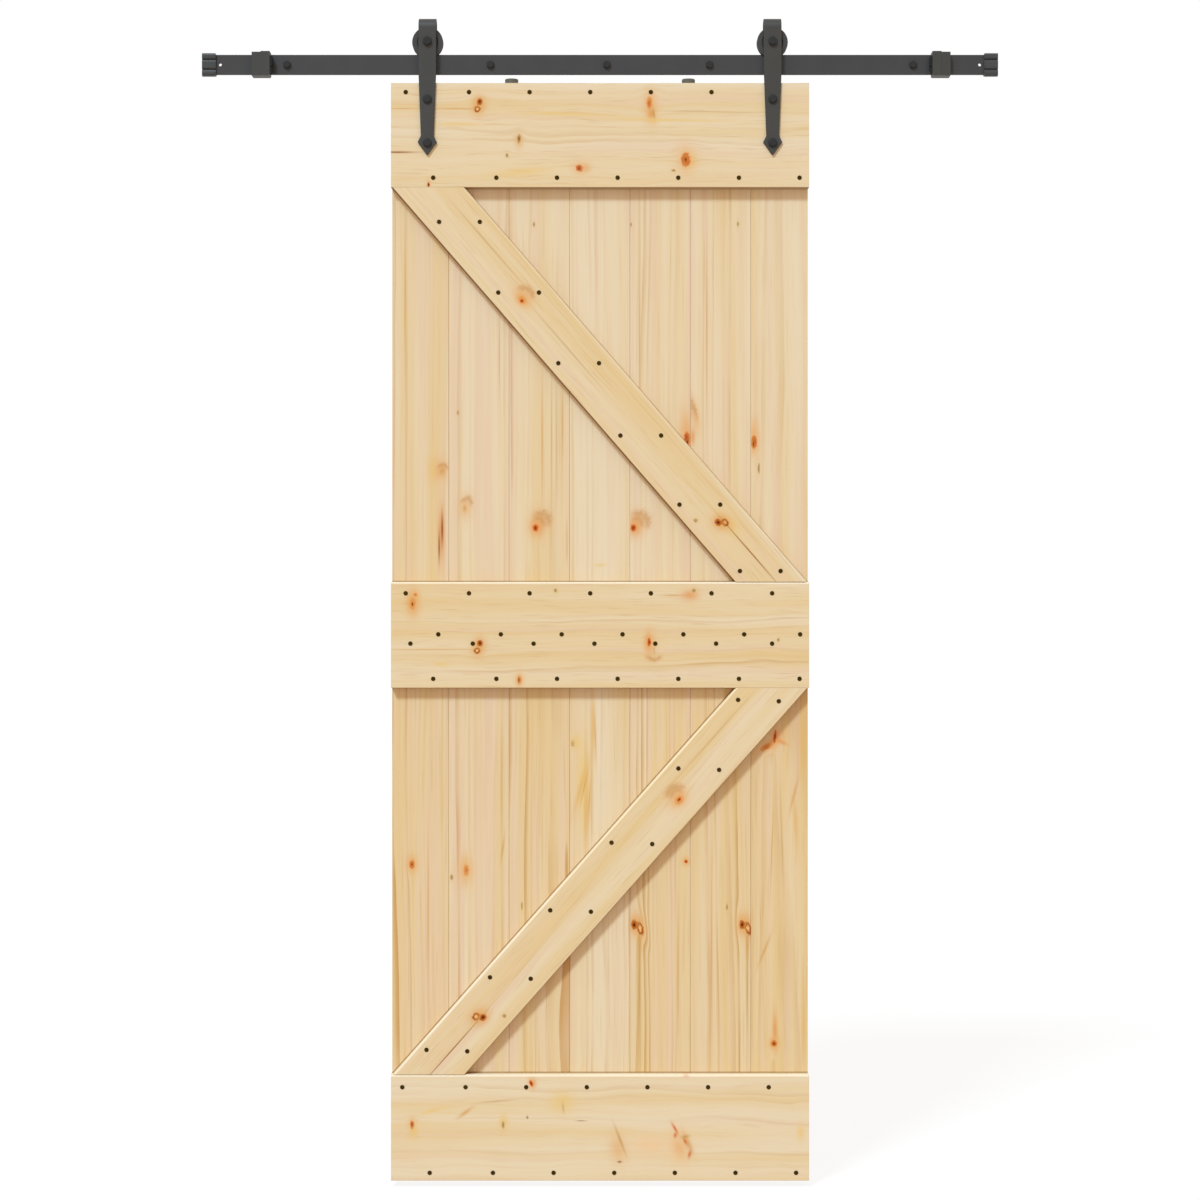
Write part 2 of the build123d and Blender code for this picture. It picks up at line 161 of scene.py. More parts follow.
class NodeSheet:
    """A node tree and the ways to add to it."""

    def __init__(self, tree: bpy.types.NodeTree) -> None:
        """Takes a tree over and empties it."""
        self.tree = tree
        tree.nodes.clear()

    def node(
        self,
        kind: str,
        settings: dict[str, Any] | None = None,
        sockets: dict[str, Any] | None = None,
    ) -> bpy.types.Node:
        """Adds a node.

        Args:
            kind: The node's type.
            settings: Its own properties, which are set first.
            sockets: Values or links of its inputs, by identifier or name. A list links each
                of its sockets to the one input.

        Returns:
            The node.
        """
        made = self.tree.nodes.new(kind)
        for name, setting in (settings or {}).items():
            setattr(made, name, setting)
        for name, given in (sockets or {}).items():
            by_identifier = [s for s in made.inputs if s.identifier == name]
            target = by_identifier[0] if by_identifier else made.inputs[name]
            for one in given if isinstance(given, list) else [given]:
                source = one.socket if isinstance(one, Value) else one
                if isinstance(source, bpy.types.NodeSocket):
                    self.tree.links.new(source, target)
                else:
                    target.default_value = source
        return made

    def value(
        self,
        kind: str,
        settings: dict[str, Any] | None = None,
        sockets: dict[str, Any] | None = None,
        output: int | str = 0,
    ) -> Value:
        """Adds a node as the method before does, and gives one of its outputs as a value."""
        return Value(self, self.node(kind, settings, sockets).outputs[output])

    def maths(self, operation: str, first: Number, second: Number | None = None) -> Value:
        """Adds a Math node.

        Args:
            operation: What it works out.
            first: Its first number.
            second: Its second, where it takes two.

        Returns:
            The result.
        """
        sockets: dict[str, Any] = {"Value": first}
        if second is not None:
            sockets["Value_001"] = second
        return self.value("ShaderNodeMath", {"operation": operation}, sockets)

    def vector(self, x: Number, y: Number, z: Number) -> Value:
        """Joins three values into a vector."""
        return self.value("ShaderNodeCombineXYZ", None, {"X": x, "Y": y, "Z": z})

    def split(self, vector: Value) -> tuple[Value, Value, Value]:
        """Takes a vector apart into its three values."""
        parts = self.node("ShaderNodeSeparateXYZ", None, {"Vector": vector}).outputs
        return Value(self, parts["X"]), Value(self, parts["Y"]), Value(self, parts["Z"])

    def noise(self, x: Number, y: Number, z: Number, detail: float = 2.0) -> Value:
        """Adds soft noise about 0.5, with features about one unit across.

        Args:
            x: The place in the noise.
            y: The same, second axis.
            z: The same, third axis.
            detail: How many finer layers it has.

        Returns:
            The noise.
        """
        return self.value(
            "ShaderNodeTexNoise",
            {"noise_dimensions": "3D"},
            {"Vector": self.vector(x, y, z), "Scale": 1.0, "Detail": detail},
        )

    def mix(self, share: Number, first: Any, second: Any) -> Value:
        """Mixes two colours.

        Args:
            share: How much of the second shows, 0 to 1.
            first: One colour.
            second: The other.

        Returns:
            The mixed colour.
        """
        return self.value(
            "ShaderNodeMix",
            {"data_type": "RGBA", "clamp_factor": True},
            {"Factor_Float": share, "A_Color": first, "B_Color": second},
            output=2,
        )

    def coordinate(self, kind: str) -> tuple[Value, Value, Value]:
        """The three values of one of the piece's own coordinates: Object or Normal."""
        return self.split(self.value("ShaderNodeTexCoord", output=kind))

    def surface(self, sockets: dict[str, Any]) -> None:
        """Ends a material's tree in a Principled shader with these inputs."""
        shader = self.node("ShaderNodeBsdfPrincipled", None, sockets)
        self.node("ShaderNodeOutputMaterial", None, {"Surface": shader.outputs[0]})


def new_material(name: str) -> tuple[bpy.types.Material, NodeSheet]:
    """Makes an empty material.

    Args:
        name: Its name.

    Returns:
        The material and the sheet for its nodes.
    """
    material = bpy.data.materials.new(name)
    material.use_nodes = True
    return material, NodeSheet(material.node_tree)


@dataclass(frozen=True)
class Coat:
    """A matt coat or moulded skin, slightly mottled, with a fine grain of its own."""

    name: str
    dark: Colour
    light: Colour
    roughness: float
    shine: float = 0.4
    grain_mm: float = 0.9
    grain_depth_mm: float = 0.03
    grain_strength: float = 0.35
    grain_gloss: float = 0.08
    mottle_mm: float = 45.0
    mottle_detail: float = 3.0
    mottle_span: Span = (0.3, 0.7)
    mottle_gloss: float = 0.12

    def material(self) -> bpy.types.Material:
        """Makes the finish.

        Returns:
            Its material.
        """
        material, sheet = new_material(self.name)
        place = [part / MM for part in sheet.coordinate("Object")]
        mottle = sheet.noise(*(part / self.mottle_mm for part in place), self.mottle_detail)
        grain = sheet.noise(*(part / self.grain_mm for part in place))
        depth = self.grain_depth_mm * MM
        bump = sheet.value(
            "ShaderNodeBump",
            None,
            {"Strength": self.grain_strength, "Distance": depth, "Height": grain},
        )
        uneven = (mottle - 0.5) * self.mottle_gloss + (grain - 0.5) * self.grain_gloss
        sheet.surface(
            {
                "Base Color": sheet.mix(mottle.rise(*self.mottle_span), self.dark, self.light),
                "Roughness": self.roughness + uneven,
                "Specular IOR Level": self.shine,
                "Normal": bump,
            }
        )
        return material


RAIL_COAT = Coat("rail coat", srgb(53, 50, 49), srgb(56, 53, 52), 0.5)
STRAP_COAT = Coat("strap coat", srgb(54, 51, 46), srgb(58, 54, 49), 0.5)
STOP_COAT = Coat("stop coat", srgb(54, 52, 47), srgb(57, 55, 50), 0.5)
WHEEL_COAT = Coat("wheel coat", srgb(54, 52, 49), srgb(58, 56, 53), 0.45)
BOLT_BLACK = Coat(
    "bolt black", srgb(40, 40, 40), srgb(46, 45, 44), 0.62, shine=0.2, grain_depth_mm=0.015
)
BUMPER_RUBBER = Coat(
    "bumper rubber", srgb(18, 18, 18), srgb(24, 24, 23), 0.75, shine=0.25, grain_mm=0.5
)
CAP_PLASTIC = Coat(
    "cap plastic", srgb(48, 47, 45), srgb(53, 52, 50), 0.42, shine=0.5, grain_mm=0.6
)
DISC_PLASTIC = Coat("disc plastic", srgb(93, 88, 77), srgb(99, 94, 82), 0.5, grain_mm=0.6)
SCREW_BLACK = Coat(
    "screw black", srgb(60, 43, 10), srgb(72, 53, 14), 0.85, shine=0.08, grain_depth_mm=0.01
)


class MarkShape(Enum):
    """How a mark is drawn: a knot with a body, a soft stain, or a crescent over a knot."""

    KNOT = 1
    STAIN = 2
    CRESCENT = 3


@dataclass(frozen=True)
class MarkTone:
    """The colours of a mark from its heart to its rim, and of the wood that it tints."""

    shape: MarkShape
    heart: Colour
    rim: Colour
    halo: Colour
    strength: float
    halo_strength: float = 0.0

    @classmethod
    def plain(cls, shape: MarkShape, colour: Colour, strength: float) -> "MarkTone":
        """A mark of one colour throughout."""
        return cls(shape, colour, colour, colour, strength)

    @classmethod
    def knot(
        cls, heart: Colour, rim: Colour, halo: Colour, strength: float, halo_strength: float
    ) -> "MarkTone":
        """A knot, with the colours of its body and of the wood about it."""
        return cls(MarkShape.KNOT, heart, rim, halo, strength, halo_strength)

    @property
    def bends_grain(self) -> bool:
        """Whether the grain runs round the mark."""
        return self.shape is MarkShape.KNOT


class Knot(Enum):
    """The kinds of knot and mark that the boards show."""

    RED = MarkTone.knot(srgb(150, 44, 10), srgb(208, 104, 40), srgb(232, 170, 104), 1.0, 0.6)
    ORANGE = MarkTone.knot(srgb(204, 112, 44), srgb(222, 146, 74), srgb(233, 180, 112), 0.85, 0.55)
    BARK = MarkTone.knot(srgb(244, 190, 118), srgb(164, 76, 10), srgb(224, 160, 84), 1.0, 0.5)
    DARK = MarkTone.knot(srgb(88, 26, 4), srgb(186, 100, 30), srgb(224, 160, 84), 1.0, 0.55)
    BUD = MarkTone.knot(srgb(136, 104, 52), srgb(180, 140, 78), srgb(222, 184, 122), 0.75, 0.35)
    STAIN = MarkTone.plain(MarkShape.STAIN, srgb(224, 146, 72), 0.72)
    BLUSH = MarkTone.plain(MarkShape.STAIN, srgb(228, 174, 112), 0.68)
    SMEAR = MarkTone.plain(MarkShape.STAIN, srgb(232, 196, 122), 0.7)
    STREAK = MarkTone.plain(MarkShape.STAIN, srgb(212, 154, 80), 0.72)
    CRACK = MarkTone.plain(MarkShape.STAIN, srgb(150, 80, 24), 0.95)
    EMBER = MarkTone.plain(MarkShape.STAIN, srgb(212, 102, 34), 0.92)
    OLIVE = MarkTone.plain(MarkShape.STAIN, srgb(190, 145, 66), 0.72)
    HONEY = MarkTone.plain(MarkShape.STAIN, srgb(224, 178, 102), 0.75)
    DUSK = MarkTone.plain(MarkShape.STAIN, srgb(196, 158, 106), 0.6)
    PEACH = MarkTone.plain(MarkShape.STAIN, srgb(238, 196, 146), 0.7)
    ARC = MarkTone.plain(MarkShape.CRESCENT, srgb(204, 150, 92), 0.7)


@dataclass(frozen=True)
class Mark:
    """A knot or streak on a board's face.

    Its place is in millimetres from the leaf's middle line and foot, and its half sizes
    are across the board's grain and along it.
    """

    kind: Knot
    x: float
    z: float
    across: float
    along: float
    lean: float = 0.0


class Tint(Enum):
    """A board's share of honey, above and below the middle ledge, and its share of rose."""

    CREAM = (0.05, 0.38, 0.35)
    ROSY = (0.22, 0.35, 0.60)
    SOFT = (0.28, 0.51, 0.45)
    FAIR = (0.26, 0.66, 0.45)
    MELLOW = (0.42, 0.76, 0.45)
    TAN = (0.58, 0.64, 0.45)
    WARM = (0.57, 0.57, 0.30)
    EVEN = (0.58, 0.58, 0.12)
    LIGHT = (0.40, 0.40, 0.05)


class Grain(Enum):
    """Which way a board's grain leans from upright, in degrees; braces work out their own."""

    UPRIGHT = 0.0
    LEVEL = 90.0


UPRIGHT = Grain.UPRIGHT.value
LEVEL = Grain.LEVEL.value


class Layer(Enum):
    """How far each noise in the wood is moved, so that no two of one size look alike."""

    WANDER = FIBRE = 0.0
    RIPPLE = 3.0
    DRIFT = 7.0
    BAND = 11.0
    BLUSH = 17.0
    PATCH = 23.0
    RAGGED = 31.0
    STREAK = 41.0
    UNEVEN = 51.0


@dataclass(frozen=True)
class Board:
    """One pine board: how its grain runs, where its pith lies and what marks it.

    Lengths are in millimetres. The pith is given across the grain and into the wall.
    """

    node: str
    tint: Tint
    marks: tuple[Mark, ...]
    seed: float
    pith_across: float
    pith_depth: float
    ring: float
    taper: float
    wander: float
    wander_along: float
    line: float
    vein: float
    vein_along: float = 170.0
    lean: float = UPRIGHT
    # Share of painted highlight on the arris that faces up to the light.
    arris_highlight: float = 0.0


@dataclass(frozen=True)
class ShadeEdge:
    """A fixed board's edge, along which a painted shade line darkens the planks under it."""

    x: float
    z: float
    lean: float
    half: float
    low: float
    high: float


@dataclass(frozen=True)
class Pine:
    """Planed pine, with growth rings through the board and knots that turn its grain aside.

    The leaf's middle line, foot and front are places in the frame. The other lengths are in
    millimetres. A span says where something starts and where it is full.
    """

    leaf_middle: float
    leaf_foot: float
    middle_height: float
    front: float
    thickness: float = 38.0
    plank_pitch: float = 116.0
    plank_face: Span = (21.0, 24.0)
    inner_planks: Span = (385.0, 390.0)

    # Colours
    pale: Colour = srgb(234, 214, 181)
    honey: Colour = srgb(229, 198, 144)
    rose: Colour = srgb(231, 201, 170)
    late: Colour = srgb(200, 150, 84)
    vein: Colour = srgb(198, 150, 82)
    # Painted highlight colour for the lit arrises and seam bevels.
    painted_highlight: Colour = srgb(253, 240, 216)
    end_shade: Colour = srgb(200, 160, 108)
    # Painted shade colour for undersides, shaded bevels and contact lines; also the dark joint line
    # behind the seams.
    painted_shade_and_joint: Colour = srgb(120, 80, 40)

    # Growth rings
    wander_across: float = 60.0
    ripple: float = 2.6
    ripple_across: float = 14.0
    ripple_along: float = 110.0
    drift: float = 14.0
    drift_along: float = 520.0
    uneven: float = 2.8
    uneven_across: float = 34.0
    uneven_along: float = 2000.0
    late_grows: Span = (0.2, 0.94)
    late_ends: Span = (0.955, 1.0)
    late_most: float = 1.05
    late_least: float = 0.08

    # Bands, veins and fibres
    band_across: float = 34.0
    band_along: float = 1300.0
    band_depth: float = 40.0
    blush_across: float = 18.0
    blush_along: float = 800.0
    streak_across: float = 2.6
    patch_across: float = 70.0
    patch_along: float = 240.0
    patch_span: Span = (0.3, 0.65)
    patch_share: float = 0.75
    honey_pull: float = 0.5
    honey_span: Span = (0.22, 0.78)
    rose_pull: float = 0.3
    rose_span: Span = (0.40, 0.70)
    rose_share: float = 0.7
    vein_span: Span = (0.54, 0.78)
    tint_change: float = 90.0
    lower_gain: float = 0.8
    fibre_across: float = 1.1
    fibre_along: float = 60.0
    fibre_share: float = 0.12

    # Knots and marks
    knot_reach_across: float = 3.0
    knot_reach_along: float = 9.0
    knot_swell: float = 0.5
    knot_ragged: float = 0.7
    knot_ragged_size: float = 5.0
    knot_edge: Span = (0.75, 1.2)
    knot_heart: Span = (0.2, 0.65)
    knot_halo: float = 4.0
    knot_height: float = 0.5
    crescent_narrow: float = 3.0
    crescent_span: Span = (0.1, 0.8)

    # Edges, seams and contact lines, with painted highlights and painted shade
    end_span: Span = (0.8, 0.98)
    end_share: float = 0.45
    arris_highlight_span: Span = (0.73, 0.83)
    underside_shade_span: Span = (0.35, 0.72)
    underside_shade_share: float = 0.55
    bevel_starts: Span = (0.5, 0.66)
    bevel_ends: Span = (0.8, 0.9)
    bevel_painted_shade: float = 0.25
    bevel_painted_highlight: float = 0.14
    seam_width: Span = (1.4, 0.5)
    seam_depth: Span = (2.0, 0.5)
    seam_share: float = 0.6
    contact_shade_line: Span = (0.8, 2.8)
    contact_shade_share: float = 0.75
    contact_shade_over: float = 0.5
    contact_shade_under: float = 0.3

    # Surface
    roughness: float = 0.62
    late_gloss: float = 0.08
    fibre_gloss: float = 0.1
    shine: float = 0.12
    late_height: float = 0.4
    relief_mm: float = 0.15
    relief_strength: float = 0.25

    def material(self, board: Board, shade_edges: tuple[ShadeEdge, ...] = ()) -> bpy.types.Material:
        """Makes the wood of one board, with painted shade lines along the shade edges."""
        return BoardPainter(self, board, shade_edges).paint()


class BoardPainter:
    """Draws the wood of one board as shader nodes, with lengths in millimetres."""

    def __init__(self, pine: Pine, board: Board, shade_edges: tuple[ShadeEdge, ...]) -> None:
        """Starts the material and finds the place on the board.

        Args:
            pine: The wood.
            board: The board.
            shade_edges: The edges along which painted shade lines darken it.
        """
        self.pine = pine
        self.board = board
        self.shade_edges = shade_edges
        self.finished, self.sheet = new_material(f"pine {board.node}")
        x, y, z = self.sheet.coordinate("Object")
        self.x = (x - pine.leaf_middle) / MM
        self.depth = (y - pine.front) / MM
        self.z = (z - pine.leaf_foot) / MM
        self.across, self.along = self.turned(self.x, self.z, board.lean)
        size = pine.knot_ragged_size
        self.ragged = (self.noise(size, size, Layer.RAGGED) - 0.5) * pine.knot_ragged

    @staticmethod
    def turned(over: Axis, up: Axis, degrees: float) -> tuple[Axis, Axis]:
        """Turns a place into axes that lean by some degrees."""
        cosine, sine = math.cos(math.radians(degrees)), math.sin(math.radians(degrees))
        return over * cosine + up * sine, up * cosine - over * sine

    def noise(self, across: float, along: float, layer: Layer, detail: float = 2.0) -> Value:
        """Adds noise in the board's own axes.

        Args:
            across: The size of its features across the grain and into the board.
            along: Their size along the grain.
            layer: Which noise it is.
            detail: How many finer layers it has.

        Returns:
            The noise, about 0.5.
        """
        inward = self.depth / across + self.board.seed + layer.value
        return self.sheet.noise(self.across / across, self.along / along, inward, detail)

    def offset(self, mark: Mark) -> tuple[Value, Value]:
        """Works out how far a place is from a mark.

        Args:
            mark: The mark.

        Returns:
            How far it is across the mark and along it, in the mark's half sizes.
        """
        mark_across, mark_along = self.turned(mark.x, mark.z, self.board.lean)
        over, up = self.across - mark_across, self.along - mark_along
        if mark.lean:
            over, up = self.turned(over, up, mark.lean)
        return over / mark.across, up / mark.along

    def bend(self) -> tuple[Number, Number]:
        """Works out how the knots turn the grain.

        Returns:
            How far the grain is pushed aside, and how far its rings swell.
        """
        pine = self.pine
        push: Number = 0.0
        swell: Number = 0.0
        for mark in self.board.marks:
            if mark.kind.value.bends_grain:
                over, up = self.offset(mark)
                across = over * over / pine.knot_reach_across
                near = (across + up * up / pine.knot_reach_along).fade()
                push = push + over * near * mark.across
                swell = swell + near * (mark.across * pine.knot_swell)
        return push, swell

    def rings(self) -> tuple[Value, Value]:
        """Draws the growth rings.

        Returns:
            The place across the bent grain, and how far a ring has turned to dark late wood.
        """
        sheet, board, pine = self.sheet, self.board, self.pine
        push, swell = self.bend()
        wander = self.noise(pine.wander_across, board.wander_along, Layer.WANDER) - 0.5
        ripple = self.noise(pine.ripple_across, pine.ripple_along, Layer.RIPPLE) - 0.5
        bent = self.across - push + wander * board.wander + ripple * pine.ripple
        beside = bent - board.pith_across
        behind = self.depth - board.pith_depth
        radius = (beside * beside + behind * behind).root()
        drift = sheet.noise(board.seed, self.along / pine.drift_along, Layer.DRIFT.value, 1.0) - 0.5
        uneven = sheet.noise(
            bent / pine.uneven_across,
            self.along / pine.uneven_along,
            board.seed + Layer.UNEVEN.value,
            1.0,
        )
        ring = (radius + self.along * board.taper + drift * pine.drift + swell) / board.ring
        ring = ring + (uneven - 0.5) * pine.uneven
        share = ring.rest()
        own = sheet.value(
            "ShaderNodeTexWhiteNoise",
            {"noise_dimensions": "1D"},
            {"W": ring.whole() + board.seed},
        )
        dark = own * own * own * pine.late_most + pine.late_least
        return bent, share.rise(*pine.late_grows) * (1 - share.rise(*pine.late_ends)) * dark

    def ground(self, bent: Value, late: Value, fibre: Value) -> Value:
        """Mixes the wood's own colours.

        Args:
            bent: The place across the bent grain.
            late: How dark its ring is there.
            fibre: Its finest fibres.

        Returns:
            The colour of the wood without its marks.
        """
        sheet, board, pine, along = self.sheet, self.board, self.pine, self.along
        above, below, rose = board.tint.value
        middle = pine.middle_height
        lower = 1 - self.z.rise(middle - pine.tint_change, middle + pine.tint_change)
        honey = above + lower * (below - above)
        shift = board.seed + self.depth / pine.band_depth
        band, blush, streak = (
            sheet.noise(bent / wide, along / long, shift + layer.value, detail)
            for wide, long, layer, detail in (
                (pine.band_across, pine.band_along, Layer.BAND, 3.0),
                (pine.blush_across, pine.blush_along, Layer.BLUSH, 2.0),
                (pine.streak_across, board.vein_along, Layer.STREAK, 2.0),
            )
        )
        patchy = self.noise(pine.patch_across, pine.patch_along, Layer.PATCH, 1.0)
        share = (band + (honey - 0.5) * pine.honey_pull).rise(*pine.honey_span)
        wood = sheet.mix(share, pine.pale, pine.honey)
        share = (blush + (rose - 0.5) * pine.rose_pull).rise(*pine.rose_span)
        wood = sheet.mix(share * pine.rose_share, wood, pine.rose)
        strong = 1 + lower * (pine.lower_gain if below > above else 0.0)
        patch = patchy.rise(*pine.patch_span) * pine.patch_share + (1 - pine.patch_share)
        line = late * board.line * patch * strong
        wood = sheet.mix(line + (fibre - 0.5) * pine.fibre_share, wood, pine.late)
        return sheet.mix(streak.rise(*pine.vein_span) * board.vein * strong, wood, pine.vein)

    def marked(self, wood: Value) -> tuple[Value, Number]:
        """Draws the knots and streaks.

        Args:
            wood: The colour of the wood.

        Returns:
            The colour with its marks, and how far the knots stand up.
        """
        sheet, pine = self.sheet, self.pine
        raised: Number = 0.0
        for mark in self.board.marks:
            tone = mark.kind.value
            over, up = self.offset(mark)
            square = over * over + up * up
            if tone.shape is MarkShape.STAIN:
                wood = sheet.mix(square.fade() * tone.strength, wood, tone.heart)
                continue
            away = square.root() + self.ragged
            if tone.shape is MarkShape.CRESCENT:
                rim = (away - 1.0) * pine.crescent_narrow
                arc = (rim * rim).fade() * up.rise(*pine.crescent_span) * tone.strength
                wood = sheet.mix(arc, wood, tone.heart)
                continue
            halo = (away * away / pine.knot_halo).fade() * tone.halo_strength
            body = (1 - away.rise(*pine.knot_edge)) * tone.strength
            core = sheet.mix(away.rise(*pine.knot_heart), tone.heart, tone.rim)
            wood = sheet.mix(body, sheet.mix(halo, wood, tone.halo), core)
            raised = raised + body * pine.knot_height
        return wood, raised

    def edges_with_painted_light(self, wood: Value) -> Value:
        """Darkens end grain; paints highlights on lit arrises and shade on downward faces.

        Args:
            wood: The colour of the wood.

        Returns:
            The colour with its edges, seams and painted contact shade.
        """
        sheet, pine = self.sheet, self.pine
        face_x, face_y, face_z = sheet.coordinate("Normal")
        _, end = self.turned(face_x, face_z, self.board.lean)
        wood = sheet.mix(end.size().rise(*pine.end_span) * pine.end_share, wood, pine.end_shade)
        # Painted highlight on the arris that faces up to the key light.
        if self.board.arris_highlight:
            upward = (face_z - face_y) * math.sqrt(0.5)
            pale = upward.rise(*pine.arris_highlight_span) * self.board.arris_highlight
            wood = sheet.mix(pale, wood, pine.painted_highlight)
        # Painted shade on faces that look down.
        under = (-face_z).rise(*pine.underside_shade_span) * pine.underside_shade_share
        wood = sheet.mix(under, wood, pine.painted_shade_and_joint)
        if self.board.lean == UPRIGHT:
            wood = self.painted_contact_shade(self.seams_with_painted_light(wood, face_x))
        return wood

    def seams_with_painted_light(self, wood: Value, face_x: Value) -> Value:
        """Draws plank seams: painted shade and highlight on the front bevels, a thin line behind.

        Args:
            wood: The colour of the wood.
            face_x: How far its surface looks to the right.

        Returns:
            The colour with the seams.
        """
        sheet, pine = self.sheet, self.pine
        inner = (1 - self.x.size().rise(*pine.inner_planks)) * self.on_face()
        # Painted shade on the bevel facing right, painted highlight on the one facing left.
        for slope, share, tone in (
            (face_x, pine.bevel_painted_shade, pine.painted_shade_and_joint),
            (-face_x, pine.bevel_painted_highlight, pine.painted_highlight),
        ):
            bevel = slope.rise(*pine.bevel_starts) * (1 - slope.rise(*pine.bevel_ends)) * inner
            wood = sheet.mix(bevel * share, wood, tone)
        back = self.depth.rise(*(pine.thickness - inset for inset in pine.seam_depth))
        plank = (self.x / pine.plank_pitch + 0.5).rest()
        seam = (plank - 0.5).size() * pine.plank_pitch
        line = seam.rise(*(pine.plank_pitch / 2 - inset for inset in pine.seam_width))
        return sheet.mix(line * back * pine.seam_share, wood, pine.painted_shade_and_joint)

    def painted_contact_shade(self, wood: Value) -> Value:
        """Paints shade lines on the planks along the edges of the fixed boards over them.

        Args:
            wood: The colour of the wood.

        Returns:
            The colour with the lines.
        """
        pine, face = self.pine, self.on_face()
        # Painted shade lines beside the ledges and braces, stronger above a ledge than below it.
        for edge in self.shade_edges:
            over, _ = self.turned(self.x - edge.x, self.z - edge.z, edge.lean)
            beside = (over.size() - edge.half).size()
            ends = self.z.rise(edge.high, edge.high + 1.0)
            between = self.z.rise(edge.low - 1.0, edge.low) * (1 - ends)
            share: Number = pine.contact_shade_share
            if edge.lean == LEVEL:
                share = over.rise(-1.0, 1.0) * pine.contact_shade_over + pine.contact_shade_under
            line = (1 - beside.rise(*pine.contact_shade_line)) * between * face
            wood = self.sheet.mix(line * share, wood, pine.painted_shade_and_joint)
        return wood

    def on_face(self) -> Value:
        """1 on the planks' front, and 0 further in."""
        return 1 - self.depth.rise(*self.pine.plank_face)

    def paint(self) -> bpy.types.Material:
        """Draws the whole board.

        Returns:
            The finished material.
        """
        sheet, pine = self.sheet, self.pine
        bent, late = self.rings()
        fibre = self.noise(pine.fibre_across, pine.fibre_along, Layer.FIBRE, 3.0)
        wood, raised = self.marked(self.ground(bent, late, fibre))
        bump = sheet.value(
            "ShaderNodeBump",
            None,
            {
                "Strength": pine.relief_strength,
                "Distance": pine.relief_mm * MM,
                "Height": late * pine.late_height + fibre + raised,
            },
        )
        gloss = late * pine.late_gloss - (fibre - 0.5) * pine.fibre_gloss
        sheet.surface(
            {
                "Base Color": self.edges_with_painted_light(wood),
                "Roughness": pine.roughness - gloss,
                "Specular IOR Level": pine.shine,
                "Normal": bump,
            }
        )
        return self.finished


def put_on(piece: bpy.types.Object, material: bpy.types.Material) -> None:
    """Gives a piece its only material.

    Args:
        piece: The piece.
        material: Its material.
    """
    piece.data.materials.clear()
    piece.data.materials.append(material)
    LOG.info("%s: %s", piece.name, material.name)


PLANK_1_MARKS = (
    Mark(Knot.BLUSH, -309, 1360, 18, 24),
    Mark(Knot.ARC, -303, 1358, 9, 13, -10),
    Mark(Knot.STREAK, -303, 1359, 6, 9),
    Mark(Knot.SMEAR, -322, 1362, 4, 18),
    Mark(Knot.STAIN, -305, 1238, 7, 52),
    Mark(Knot.CRACK, -303, 1248, 2.2, 30),
    Mark(Knot.CRACK, -309, 1212, 1.6, 28),
    Mark(Knot.BLUSH, -361, 604, 10, 16),
    Mark(Knot.RED, -361, 603, 5, 7.5),
    Mark(Knot.DARK, -361.5, 603, 2, 3.4),
    Mark(Knot.STREAK, -374, 1700, 2.0, 130),
    Mark(Knot.STREAK, -330, 520, 1.6, 140),
)
PLANK_2_MARKS = (
    Mark(Knot.BUD, -273, 1471, 1.8, 4.5),
    Mark(Knot.BLUSH, -259, 1290, 12, 22),
    Mark(Knot.ARC, -259, 1288, 10, 19, -20),
    Mark(Knot.STREAK, -260, 1287, 3, 6),
    Mark(Knot.STREAK, -193.5, 1579, 1.2, 70),
    Mark(Knot.BLUSH, -259, 594, 14, 30),
    Mark(Knot.ORANGE, -257, 592, 5.5, 11),
    Mark(Knot.BUD, -285, 578, 2.8, 6),
    Mark(Knot.STREAK, -187, 632, 2.0, 24, -8),
)
PLANK_3_MARKS = (
    Mark(Knot.BUD, -127, 1832, 2.0, 5),
    Mark(Knot.BLUSH, -118, 1257, 19, 26),
    Mark(Knot.STAIN, -120, 1252, 10, 13),
    Mark(Knot.ARC, -119, 1254, 17, 25, -35),
    Mark(Knot.ARC, -121, 1253, 11, 15, -30),
    Mark(Knot.RED, -124, 1249, 5.5, 7),
    Mark(Knot.STREAK, -111, 1420, 1.6, 110),
    Mark(Knot.DUSK, -93, 1410, 1.4, 120),
    Mark(Knot.DUSK, -84, 1420, 1.4, 110),
    Mark(Knot.STREAK, -72, 1450, 1.6, 60),
    Mark(Knot.BUD, -150, 523, 1.6, 8),
)
PLANK_4_MARKS = (
    Mark(Knot.SMEAR, 0, 1178, 11, 3),
    Mark(Knot.BUD, -52, 835, 3.8, 6.5),
    Mark(Knot.SMEAR, -46, 838, 9, 13),
    Mark(Knot.SMEAR, -32, 760, 15, 80),
    Mark(Knot.HONEY, -13.4, 866, 4.6, 62),
    Mark(Knot.HONEY, -37, 750, 4.6, 50, -15),
    Mark(Knot.HONEY, -26, 708, 5.2, 62, -2),
    Mark(Knot.STREAK, -30, 752, 1.4, 34, -13),
    Mark(Knot.STREAK, -20.5, 722, 1.4, 40, -3),
    Mark(Knot.STREAK, -9, 850, 1.4, 44, 2),
)
